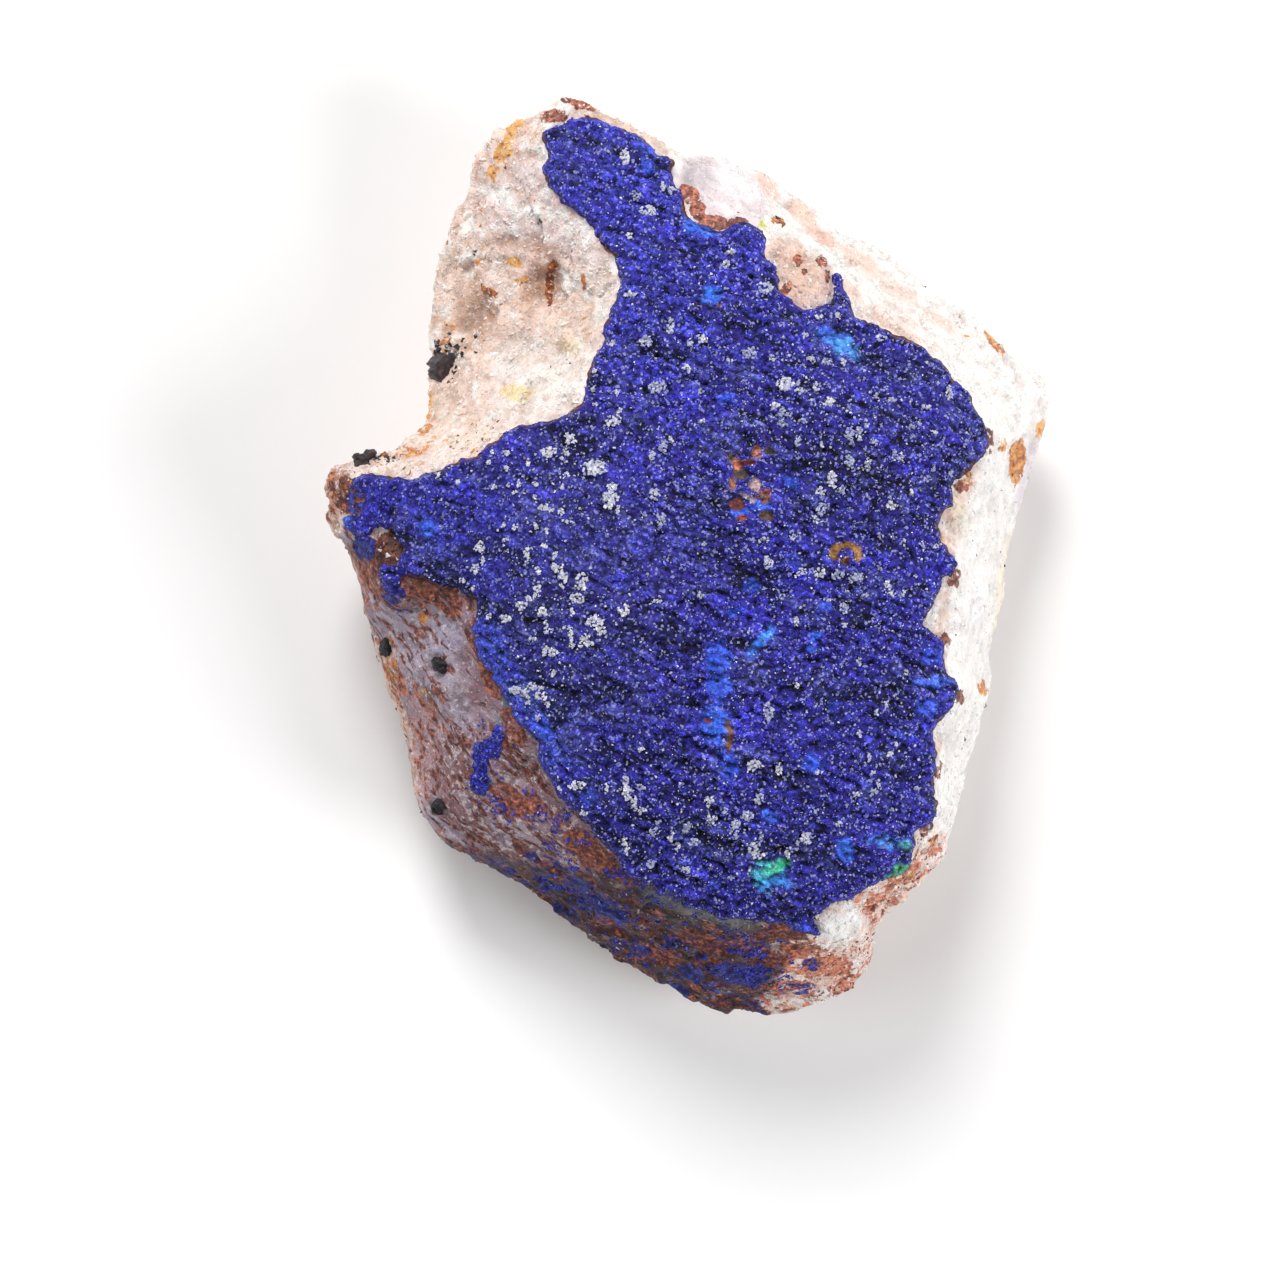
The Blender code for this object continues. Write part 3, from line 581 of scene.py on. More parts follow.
def crystal_material():
    k = Nodes("azurite_crystals_stone")
    tint = k.attribute("tint")
    n = k.noise(0.35, 2, 0.5)
    c = k.mix(tint, k.ramp(n, [(0.3, 0.62), (0.7, 1.3)]), 1.0, "MULTIPLY")
    k.into(k.s.inputs["Base Color"], c)
    k.link(k.span(k.noise(0.8, 2, 0.5, offset=0.02), 0.38, 0.56, 0.10, 0.55), k.s.inputs["Roughness"])
    k.s.inputs["IOR"].default_value = 1.73
    k.s.inputs["Specular IOR Level"].default_value = 0.34
    k.link(k.bump(k.noise(0.16, 2, 0.5), 0.00003, 0.5), k.s.inputs["Normal"])
    return k.m


def quartz_material(name, transmission, lo, hi):
    k = Nodes(name)
    tint = k.attribute("tint")
    c = k.mix(tint, k.ramp(k.noise(0.5, 3, 0.6), [(0.3, 0.82), (0.7, 1.08)]), 1.0, "MULTIPLY")
    k.into(k.s.inputs["Base Color"], c)
    k.link(k.span(k.noise(0.7, 2, 0.5, offset=0.03), 0.3, 0.7, lo, hi), k.s.inputs["Roughness"])
    k.s.inputs["IOR"].default_value = 1.544
    k.s.inputs["Transmission Weight"].default_value = transmission
    k.s.inputs["Subsurface Weight"].default_value = 0.3
    k.s.inputs["Subsurface Radius"].default_value = (1.0, 0.85, 0.75)
    k.s.inputs["Subsurface Scale"].default_value = 0.0007
    k.link(k.bump(k.noise(0.3, 3, 0.5), 0.00004, 0.6), k.s.inputs["Normal"])
    return k.m


def dark_material(name, lo, hi, warm):
    k = Nodes(name)
    n = k.noise(0.9, 4, 0.6)
    c = k.ramp(n, [(0.3, lo), (0.6, hi), (0.8, warm)])
    k.into(k.s.inputs["Base Color"], c)
    k.link(k.span(k.noise(0.5, 2, 0.5), 0.3, 0.7, 0.28, 0.55), k.s.inputs["Roughness"])
    k.s.inputs["IOR"].default_value = 1.6
    k.s.inputs["Specular IOR Level"].default_value = 0.25
    b = k.bump(k.noise(0.6, 4, 0.6), 0.0003, 0.8)
    k.link(b, k.s.inputs["Normal"])
    return k.m


def floor_material():
    k = Nodes("floor_paper")
    c = k.ramp(k.noise(60, 3, 0.5), [(0.3, (0.93, 0.93, 0.935)), (0.7, (0.95, 0.95, 0.955))])
    k.into(k.s.inputs["Base Color"], c)
    k.s.inputs["Roughness"].default_value = 0.8
    k.link(k.bump(k.noise(0.9, 4, 0.6), 0.00004, 0.4), k.s.inputs["Normal"])
    return k.m


# ---------------------------------------------------------------- the CAD's surfaces
cad = {}
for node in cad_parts:
    cad[node] = mesh_arrays(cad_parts[node])


def tree_of(verts, faces):
    return BVHTree.FromPolygons(np.asarray(verts).tolist(), [list(map(int, f)) for f in faces])


def heights(tree, xy, top=0.1):
    out = np.full(len(xy), np.nan)
    down = Vector((0, 0, -1))
    for i, (x, y) in enumerate(xy.tolist()):
        hit = tree.ray_cast(Vector((x, y, top)), down)
        if hit[0] is not None:
            out[i] = hit[0].z
    return out


crust_tree = tree_of(*cad["azurite_crust"])
rock_tree = tree_of(*cad["host_rock"])

STEP = 0.6 * MM
GX = np.arange(BOX_LO[0] - 4 * STEP, BOX_HI[0] + 4 * STEP, STEP)
GY = np.arange(BOX_LO[1] - 4 * STEP, BOX_HI[1] + 4 * STEP, STEP)
raster_xy = np.stack(np.meshgrid(GX, GY), -1).reshape(-1, 2)
crust_raster = heights(crust_tree, raster_xy).reshape(len(GY), len(GX))
rock_raster = heights(rock_tree, raster_xy).reshape(len(GY), len(GX))


def blurred(z, sigma):
    """Gaussian blur that skips and fills missing values."""
    r = int(math.ceil(3 * sigma / STEP))
    k = np.exp(-0.5 * (np.arange(-r, r + 1) * STEP / sigma) ** 2)
    k /= k.sum()
    m = np.isfinite(z).astype(float)
    a = np.where(m > 0, z, 0)
    for axis in (0, 1):
        a = np.apply_along_axis(lambda v: np.convolve(v, k, "same"), axis, a)
        m = np.apply_along_axis(lambda v: np.convolve(v, k, "same"), axis, m)
    return np.where(m > 1e-4, a / np.maximum(m, 1e-9), np.nan)


def sampler(z):
    filled = np.where(np.isfinite(z), z, np.nanmean(z))

    def at(xy):
        u = np.clip((xy[:, 0] - GX[0]) / STEP, 0, len(GX) - 1.001)
        v = np.clip((xy[:, 1] - GY[0]) / STEP, 0, len(GY) - 1.001)
        i, j = u.astype(int), v.astype(int)
        fu, fv = u - i, v - j
        return (
            filled[j, i] * (1 - fu) * (1 - fv)
            + filled[j, i + 1] * fu * (1 - fv)
            + filled[j + 1, i] * (1 - fu) * fv
            + filled[j + 1, i + 1] * fu * fv
        )

    return at


wide = blurred(crust_raster, 4 * MM)
crust_at = sampler(np.where(np.isfinite(blurred(crust_raster, 1.3 * MM)), blurred(crust_raster, 1.3 * MM), wide))
both_at = sampler(blurred(np.fmax(crust_raster, rock_raster), 0.8 * MM))


def on_top(x, y, at=None):
    """Drawing positions to places on the upper side."""
    x, y = np.asarray(x, float), np.asarray(y, float)
    z = np.full(x.shape, 0.03)
    for _ in range(5):
        p = place(x, y, z)
        z = (at or both_at)(p[:, :2])
    return place(x, y, z)


# ---------------------------------------------------------------- outlines
CRUST_RIM = [
    (540, 129), (548, 124), (562, 122), (567, 117), (582, 115), (589, 112), (596, 116), (607, 120), (617, 125),
    (631, 128), (646, 136), (655, 146), (664, 156), (675, 159), (672, 172), (676, 183), (681, 191), (686, 200),
    (689, 215), (708, 225), (724, 229), (735, 221), (747, 220), (757, 224), (765, 229), (767, 240), (764, 250),
    (770, 258), (777, 266), (778, 275), (780, 284), (785, 292), (791, 298), (797, 304), (805, 308), (818, 306),
    (826, 301), (832, 295), (832, 283), (834, 271), (840, 272), (843, 279), (849, 294), (853, 305), (856, 316),
    (871, 320), (880, 322), (891, 330), (905, 333), (919, 344), (935, 355), (944, 364), (951, 374), (967, 388),
    (971, 396), (976, 406), (985, 422), (990, 432), (992, 441), (989, 450), (985, 456), (975, 468), (966, 474),
    (958, 478), (951, 488), (957, 496), (954, 506), (946, 512), (942, 519), (940, 528), (941, 541), (949, 550),
    (955, 556), (960, 563), (955, 572), (946, 577), (943, 588), (936, 600), (930, 611), (924, 623), (931, 631),
    (944, 640), (948, 648), (946, 660), (946, 671), (954, 676), (958, 682), (961, 690), (958, 701), (955, 710),
    (945, 719), (937, 726), (933, 739), (938, 746), (940, 753), (937, 763), (936, 778), (936, 790), (939, 802),
    (940, 813), (934, 822), (924, 828), (916, 834), (918, 846), (914, 862), (904, 878), (890, 881), (879, 884),
    (866, 891), (854, 898), (843, 902), (833, 906), (824, 912), (815, 918), (817, 927), (824, 934), (815, 938),
    (804, 937), (794, 931), (780, 924), (760, 923), (741, 922), (722, 920), (706, 914), (690, 909), (675, 903),
    (662, 898), (652, 890), (643, 884), (632, 879), (622, 873), (619, 863), (612, 853), (604, 845), (597, 838),
    (587, 827), (577, 817), (566, 806), (556, 796), (551, 787), (547, 778), (540, 769), (535, 760), (539, 751),
    (538, 743), (528, 734), (520, 727), (512, 720), (511, 712), (508, 704), (500, 693), (494, 684), (488, 676),
    (483, 668), (479, 660), (474, 650), (471, 640), (469, 627), (474, 615), (476, 601), (466, 600), (457, 590),
    (446, 589), (434, 587), (427, 583), (417, 579), (408, 577), (402, 583), (398, 592), (392, 600), (384, 594),
    (378, 584), (376, 575), (379, 565), (388, 561), (398, 558), (401, 550), (398, 541), (391, 533), (384, 527),
    (377, 528), (372, 535), (366, 542), (354, 540), (344, 530), (338, 519), (346, 514), (358, 514), (362, 503),
    (361, 494), (353, 490), (346, 486), (351, 479), (359, 474), (367, 471), (376, 471), (385, 474), (393, 477),
    (410, 477), (418, 474), (427, 472), (438, 467), (448, 464), (460, 459), (469, 457), (482, 448), (494, 440),
    (504, 430), (518, 425), (531, 422), (547, 420), (561, 416), (575, 407), (581, 401), (584, 393), (585, 382),
    (586, 371), (590, 363), (593, 355), (600, 347), (603, 339), (602, 331), (604, 322), (609, 310), (614, 300),
    (618, 291), (620, 282), (617, 272), (616, 262), (614, 255), (607, 249), (600, 243), (595, 237), (592, 229),
    (588, 223), (582, 218), (576, 213), (569, 208), (559, 200), (551, 187), (545, 180), (543, 172), (542, 164),
    (546, 157), (547, 151), (542, 144), (540, 137),
]
STREAK_RIM = [
    (493, 724), (499, 723), (505, 734), (503, 748), (501, 759), (490, 761), (487, 771), (490, 780), (489, 789),
    (485, 797), (476, 795), (469, 787), (470, 776), (473, 767), (471, 755), (473, 742), (482, 739), (491, 736),
]
LILAC = [
    (345, 520), (378, 556), (396, 576), (432, 570), (490, 590), (492, 646), (508, 684), (540, 722), (558, 748),
    (578, 790), (614, 830), (638, 866), (660, 898), (600, 900), (540, 880), (470, 866), (425, 846), (404, 800),
    (396, 730), (372, 660), (352, 590), (338, 545),
]
BOTTOM = [
    (440, 842), (500, 860), (560, 868), (620, 866), (662, 892), (722, 914), (790, 922), (818, 940), (800, 1030),
    (700, 1030), (600, 980), (500, 920), (430, 880),
]

# Quartz clusters on the crust: x, y, size in mm.
CLUSTERS = [
    (570, 439, 1.5), (549, 452, 1.7), (566, 452, 0.9), (562, 461, 0.7), (594, 468, 2.4), (506, 453, 0.8),
    (492, 453, 0.6), (489, 462, 0.6), (528, 462, 0.8), (507, 468, 0.6), (567, 475, 0.7), (438, 471, 1.2),
    (448, 466, 0.7), (458, 482, 0.6), (494, 487, 0.7), (508, 484, 0.6), (519, 484, 0.7), (515, 493, 0.6),
    (535, 484, 0.7), (535, 496, 0.6), (563, 486, 0.6), (612, 487, 0.7), (611, 499, 1.7), (543, 508, 1.1),
    (550, 510, 0.8), (561, 512, 0.8), (569, 522, 0.6), (504, 526, 0.6), (515, 528, 0.6), (536, 525, 0.7),
    (547, 531, 0.7), (506, 540, 0.6), (544, 546, 0.7), (480, 547, 1.4), (527, 555, 1.3), (555, 556, 0.9),
    (483, 561, 0.7), (476, 569, 1.3), (557, 567, 1.4), (563, 579, 1.5), (538, 571, 0.8), (582, 581, 1.7),
    (537, 591, 1.3), (462, 580, 0.7), (473, 588, 0.6), (530, 598, 0.9), (578, 598, 1.5), (522, 605, 1.3),
    (542, 612, 1.4), (572, 612, 0.8), (489, 616, 0.7), (505, 619, 1.2), (595, 622, 1.6), (599, 630, 1.0),
    (546, 624, 0.9), (550, 631, 0.9), (567, 627, 0.8), (571, 634, 0.9), (585, 636, 1.0), (572, 644, 0.8),
    (586, 644, 1.3), (533, 638, 0.8), (550, 652, 1.5), (553, 673, 0.7), (523, 692, 1.5), (540, 688, 0.8),
    (539, 717, 0.7), (625, 157, 1.6), (662, 188, 1.0), (671, 190, 0.9), (638, 197, 1.0), (648, 211, 1.8),
    (629, 236, 0.8), (730, 252, 1.0), (726, 264, 0.9), (765, 288, 1.7), (630, 295, 1.2), (671, 327, 1.5),
    (646, 342, 1.6), (701, 339, 1.3), (691, 344, 0.8), (611, 344, 0.8), (749, 353, 1.6), (729, 361, 0.7),
    (772, 358, 0.9), (804, 335, 0.8), (819, 316, 0.8), (839, 315, 0.8), (811, 359, 0.9), (827, 362, 0.9),
    (843, 361, 0.9), (881, 338, 0.9), (658, 387, 1.8), (687, 369, 0.9), (785, 384, 1.9), (798, 383, 0.7),
    (801, 391, 1.1), (816, 387, 0.9), (774, 406, 1.1), (811, 400, 0.5), (828, 404, 1.1), (781, 413, 1.0),
    (789, 413, 0.8), (782, 423, 1.0), (803, 421, 0.9), (830, 401, 1.1), (891, 400, 0.8), (949, 394, 1.3),
    (614, 420, 1.7), (620, 411, 0.7), (617, 393, 0.6), (701, 392, 0.8), (702, 421, 0.7), (859, 433, 1.3),
    (866, 424, 0.9), (593, 371, 0.7), (594, 389, 0.7), (595, 404, 0.6), (850, 435, 1.5), (664, 446, 1.4),
    (671, 438, 0.5), (652, 454, 1.1), (798, 442, 0.9), (822, 444, 0.6), (849, 462, 1.4), (612, 487, 1.0),
    (609, 499, 1.8), (618, 509, 0.8), (655, 494, 1.4), (832, 480, 1.6), (842, 490, 1.0), (821, 491, 1.2),
    (822, 509, 1.4), (816, 519, 0.9), (661, 520, 1.4), (764, 540, 1.1), (793, 537, 0.9), (704, 544, 0.5),
    (768, 563, 1.4), (802, 572, 1.1), (820, 573, 1.3), (837, 574, 1.4), (856, 578, 1.6), (624, 610, 1.5),
    (658, 601, 0.8), (701, 595, 0.8), (602, 630, 1.0), (844, 608, 1.3), (796, 621, 1.0), (782, 597, 0.7),
    (828, 600, 0.8), (844, 625, 0.7), (577, 785, 1.5), (558, 789, 0.8), (626, 783, 1.3), (607, 787, 0.7),
    (641, 787, 0.9), (627, 793, 1.3), (634, 802, 1.3), (640, 810, 1.1), (584, 812, 0.8), (625, 842, 1.0),
    (627, 850, 0.7), (651, 863, 1.1), (655, 832, 1.1), (671, 837, 1.0), (687, 825, 1.2), (686, 830, 0.8),
    (709, 801, 1.1), (712, 819, 1.3), (735, 831, 1.2), (747, 815, 1.2), (759, 799, 1.3), (694, 842, 1.0),
    (686, 870, 0.9), (678, 847, 1.0), (659, 822, 0.7), (731, 877, 0.7), (641, 749, 0.6), (753, 848, 1.4),
    (769, 711, 1.7), (755, 765, 1.6), (779, 769, 1.1), (725, 811, 0.8), (745, 818, 1.1), (736, 824, 1.0),
    (757, 854, 1.2), (761, 836, 0.8), (807, 838, 1.5), (797, 846, 0.9), (788, 853, 1.0), (869, 757, 0.8),
    (859, 734, 0.8), (889, 754, 0.7), (874, 773, 0.7), (896, 744, 0.6), (856, 794, 0.9), (873, 792, 0.8),
    (878, 784, 0.7), (917, 788, 0.7), (930, 759, 0.7), (892, 810, 0.6), (817, 812, 0.7), (839, 824, 0.8),
    (818, 772, 0.7), (859, 662, 0.8), (906, 672, 0.7), (886, 705, 0.8), (876, 712, 0.6), (797, 686, 0.6),
    (892, 400, 0.8), (876, 396, 0.7), (926, 407, 0.8), (910, 427, 0.9), (919, 423, 0.7), (935, 432, 0.7),
    (875, 442, 0.8), (898, 455, 1.2), (868, 465, 1.2), (934, 469, 0.6), (950, 473, 0.6), (926, 480, 0.7),
    (892, 505, 1.2), (912, 493, 0.7), (880, 535, 0.7), (904, 542, 0.6), (923, 546, 0.7), (935, 546, 0.6),
    (515, 690, 1.2), (532, 686, 1.0), (540, 696, 1.3), (528, 700, 0.9), (548, 704, 0.8),
    (880, 568, 0.7), (857, 578, 0.8), (887, 587, 1.2), (892, 594, 0.8), (903, 594, 0.7), (865, 595, 0.6),
]
# Powdery patches on the crust: x, y, half sizes, turn, colour, strength.
PATCHES = [
    (832, 338, 18, 9, 15, (70, 120, 235), 0.9), (846, 349, 16, 8, 25, (80, 150, 240), 0.9),
    (712, 294, 11, 9, 0, (58, 112, 232), 0.95), (726, 399, 8, 6, 0, (60, 90, 226), 0.8),
    (646, 166, 9, 7, 0, (62, 92, 226), 0.7), (694, 224, 9, 10, 60, (60, 110, 232), 0.9),
    (705, 232, 10, 6, 20, (62, 105, 230), 0.85), (717, 660, 13, 16, 0, (58, 94, 224), 0.85),
    (720, 686, 12, 12, 0, (58, 92, 222), 0.85), (716, 725, 15, 19, -15, (60, 104, 230), 0.9),
    (728, 764, 11, 15, -20, (58, 88, 222), 0.85), (762, 640, 6, 17, 38, (70, 128, 240), 0.95),
    (931, 683, 18, 6, -5, (76, 110, 228), 0.85), (926, 707, 12, 10, 0, (62, 90, 218), 0.75),
    (931, 655, 12, 8, 0, (66, 92, 220), 0.75), (834, 707, 8, 6, 0, (58, 82, 214), 0.6),
    (811, 762, 11, 9, 20, (58, 92, 226), 0.8), (770, 816, 8, 9, 0, (62, 100, 230), 0.85),
    (844, 850, 9, 11, 0, (66, 118, 238), 0.9), (886, 841, 20, 6, 8, (84, 140, 240), 0.9),
    (492, 675, 9, 7, 30, (64, 88, 216), 0.6), (524, 693, 12, 8, 30, (120, 140, 232), 0.55),
    (542, 728, 9, 18, -25, (62, 92, 220), 0.6), (588, 796, 8, 8, 0, (58, 88, 214), 0.5),
    (534, 768, 7, 10, -30, (70, 150, 190), 0.6), (752, 587, 9, 6, 0, (56, 92, 222), 0.7),
    (735, 612, 7, 6, 0, (58, 92, 228), 0.8), (740, 512, 10, 5, 0, (56, 98, 226), 0.8),
    (762, 507, 9, 5, 0, (56, 96, 224), 0.75), (791, 482, 8, 6, 0, (54, 92, 220), 0.7),
    (815, 637, 7, 5, -20, (60, 106, 226), 0.7), (811, 649, 5, 4, 0, (60, 106, 226), 0.6),
    (824, 608, 7, 6, 0, (62, 90, 220), 0.5), (792, 561, 7, 7, 0, (56, 88, 216), 0.5),
    (428, 528, 9, 9, 0, (60, 100, 220), 0.75), (345, 522, 9, 6, 0, (64, 110, 226), 0.6),
    (600, 118, 16, 6, 15, (70, 96, 216), 0.5), (652, 146, 9, 10, 60, (66, 92, 224), 0.6),
    (660, 905, 34, 5, 12, (58, 76, 196), 0.5), (800, 926, 14, 8, 20, (52, 74, 190), 0.5),
    (715, 884, 8, 5, 0, (58, 84, 206), 0.35), (868, 640, 9, 7, 0, (60, 84, 214), 0.35),
    (905, 735, 10, 8, 0, (62, 86, 214), 0.4), (690, 320, 9, 6, 0, (60, 76, 214), 0.35),
    (560, 540, 12, 7, 0, (56, 66, 200), 0.3), (640, 545, 12, 9, 20, (58, 62, 205), 0.35),
]
GREENS = [
    (768, 873, 15, 12, -15, (80, 190, 205)), (776, 868, 12, 6, -20, (86, 208, 168)), (783, 865, 9, 3.5, -20, (40, 150, 110)),
    (780, 882, 14, 6, 10, (70, 140, 240)), (765, 888, 8, 7, 0, (72, 150, 240)), (898, 873, 11, 5, -25, (70, 160, 120)),
    (905, 846, 7, 6, 0, (78, 150, 150)), (902, 868, 8, 4, 0, (90, 176, 130)),
]
# Windows in the crust: x, y, half sizes, turn, colour.
WINDOWS = [
    (757, 451, 5, 7, -10, (226, 150, 112)), (771, 452, 7, 4, 10, (112, 100, 92)), (732, 458, 5, 6, 0, (116, 100, 96)),
    (738, 464, 4.5, 4.5, 0, (186, 110, 76)), (748, 462, 7, 5, 0, (150, 84, 58)), (740, 473, 8, 6, 0, (92, 78, 66)),
    (733, 484, 5, 6, 20, (178, 128, 92)), (755, 484, 7, 6, 30, (206, 178, 176)), (766, 492, 5, 4, 0, (206, 140, 110)),
    (762, 499, 7, 4, 0, (150, 110, 84)), (737, 504, 8, 6, 0, (126, 72, 58)), (766, 515, 8, 6, 10, (124, 98, 78)),
    (742, 519, 5, 3.5, 0, (196, 112, 62)), (748, 497, 9, 1.6, 38, (226, 208, 206)),
]
CRESCENTS = [  # centre, radii, thickness, start and end angle (degrees, y down), colour
    (846, 554, 12.5, 9.5, 0.34, 140, 405, (196, 146, 74)),
    (722, 737, 9, 14, 0.35, -70, 70, (160, 118, 74)),
]
SPOTS = [(845, 562, 4, 3, 0, (178, 124, 60)), (719, 304, 3, 3, 0, (200, 130, 80)), (708, 720, 4, 3, 0, (150, 74, 44))]
# Films and stains on the bare rock: x, y, half sizes, turn, how dense, how dark.
BROWNS = [
    (553, 117, 16, 8, 0, 1.1, 0.3), (583, 104, 16, 8, 20, 1.2, 0.3), (565, 98, 9, 5, 20, 1.1, 0.4),
    (688, 194, 12, 9, 25, 1.4, 0.2), (697, 210, 9, 9, 50, 1.3, 0.3), (716, 222, 21, 7, 10, 1.4, 0.25), (738, 221, 10, 5, 0, 1.1, 0.4),
    (989, 440, 6, 14, 0, 0.9, 0.5), (962, 486, 8, 7, 0, 1.0, 0.5), (941, 511, 9, 5, -20, 1.1, 0.5), (957, 578, 10, 9, 0, 1.0, 0.5),
    (945, 640, 9, 7, 0, 0.9, 0.5), (962, 697, 7, 8, 0, 0.9, 0.5), (937, 770, 8, 12, 0, 0.9, 0.5), (822, 918, 11, 13, 0, 1.1, 0.6),
    (784, 932, 24, 10, 5, 1.3, 0.5), (391, 548, 12, 18, -15, 1.5, 0.75), (376, 556, 13, 16, 0, 1.1, 0.7), (785, 290, 5, 12, 25, 1.3, 0.25),
    (797, 262, 5, 8, 10, 1.2, 0.3), (803, 274, 5, 6, 0, 1.1, 0.4), (822, 262, 7, 7, 0, 1.15, 0.35), (828, 276, 4, 7, 0, 1.0, 0.4), (838, 300, 5, 9, -10, 0.8, 0.4), (655, 955, 24, 10, 10, 1.1, 0.4), (700, 940, 28, 9, 10, 1.0, 0.5),
    (745, 945, 24, 9, 5, 1.0, 0.5), (348, 496, 14, 22, 0, 0.95, 0.5), (366, 588, 12, 26, -15, 0.8, 0.4), (925, 830, 7, 14, 30, 0.8, 0.5),
    (968, 470, 8, 6, 0, 0.9, 0.5), (917, 862, 7, 12, 20, 0.8, 0.4), (606, 244, 5, 11, -30, 0.6, 0.4), (590, 850, 34, 13, 35, 1.25, 0.45),
    (520, 800, 34, 16, 30, 0.95, 0.4), (770, 958, 26, 12, 0, 0.9, 0.5), (640, 925, 26, 10, 15, 0.9, 0.7), (430, 600, 16, 8, 20, 1.0, 0.45),
    (452, 606, 14, 14, 30, 1.0, 0.5), (620, 990, 30, 12, 20, 0.9, 0.6),
    (905, 880, 28, 13, -40, 1.15, -0.1), (932, 846, 12, 14, -30, 0.95, 0.0), (874, 905, 13, 18, 30, 1.0, -0.1), (800, 950, 26, 9, 0, 1.1, 0.3),
    (850, 985, 24, 10, -20, 1.15, -0.1), (824, 966, 34, 14, 0, 1.0, 0.0), (790, 985, 24, 8, -10, 0.9, 0.2), (330, 500, 10, 30, 0, 0.75, 0.0),
    (394, 676, 10, 30, -20, 0.8, 0.1), (356, 590, 8, 30, -15, 0.7, 0.2),
    (474, 640, 9, 24, -14, 0.95, 0.45), (491, 684, 9, 24, -26, 1.0, 0.4), (512, 724, 9, 24, -30, 0.95, 0.45),
]
BLUES = [
    (356, 500, 13, 16, 0, 0.9), (364, 548, 14, 14, 0, 1.15), (392, 598, 16, 10, -20, 0.9), (404, 612, 12, 10, 0, 0.6),
    (694, 972, 14, 10, 0, 1.1), (640, 950, 12, 9, 0, 1.0), (740, 975, 34, 12, 10, 1.0), (811, 965, 12, 8, 0, 0.8), (600, 905, 30, 12, 20, 0.9),
    (578, 886, 18, 9, 20, 0.9), (790, 990, 26, 8, -10, 0.7), (672, 990, 26, 9, 15, 0.9), (548, 862, 30, 8, 20, 0.7), (660, 885, 30, 5, 20, 0.8),
    (484, 812, 8, 12, 0, 0.4),
]
RUSTS = [
    (511, 130, 8, 15, 0, 1.0, 0.0), (503, 152, 9, 12, 15, 1.05, 0.0), (493, 172, 9, 10, 30, 0.95, 0.1), (521, 121, 7, 6, 0, 0.9, 0.0),
    (552, 268, 4, 10, 8, 1.4, 0.7), (549, 289, 4.5, 16, 0, 1.6, 1.0), (490, 293, 10, 5, 30, 1.2, 0.7), (514, 264, 9, 6, 0, 1.1, 0.1),
    (524, 280, 9, 6, 0, 1.0, 0.2), (583, 283, 3, 9, 0, 1.1, 0.5), (425, 405, 8, 15, 0, 1.1, 0.15), (424, 427, 9, 9, 0, 1.1, 0.3),
    (410, 452, 26, 5, -12, 0.8, 0.4), (352, 482, 16, 8, 0, 0.5, 0.6), (332, 500, 9, 18, 10, 0.5, 0.7), (994, 342, 5, 18, -35, 1.2, 0.4),
    (1017, 462, 7, 24, 10, 1.5, 0.35), (1042, 430, 8, 10, 0, 1.0, 0.1), (986, 687, 9, 8, 0, 1.2, 0.3), (778, 220, 7, 4, 0, 1.2, 0.6),
    (392, 668, 8, 20, -20, 0.55, 0.3), (388, 640, 7, 14, 0, 0.5, 0.4), (424, 617, 6, 6, 0, 1.3, 0.5), (905, 880, 20, 9, -40, 0.6, 0.2),
    (930, 846, 10, 9, -40, 0.6, 0.2),
    (966, 478, 6, 10, 0, 0.8, 0.2), (1001, 446, 5, 9, 0, 0.8, 0.2), (775, 275, 4, 10, 20, 0.9, 0.3), 
    (470, 425, 26, 5, -20, 0.5, 0.2), (430, 440, 14, 6, 0, 0.6, 0.3), (446, 330, 10, 12, 0, 0.6, 0.3), (962, 330, 12, 4, 38, 0.5, 0.2),
    (478, 220, 6, 24, 5, 0.55, 0.2), (535, 136, 8, 5, 0, 0.5, 0.2), (425, 700, 8, 14, -20, 0.5, 0.3), (410, 730, 8, 22, -20, 0.4, 0.3),
    (446, 345, 8, 8, 0, 0.7, 0.5), (508, 240, 5, 4, 0, 0.8, 0.4), (476, 262, 5, 5, 0, 0.8, 0.3),
]
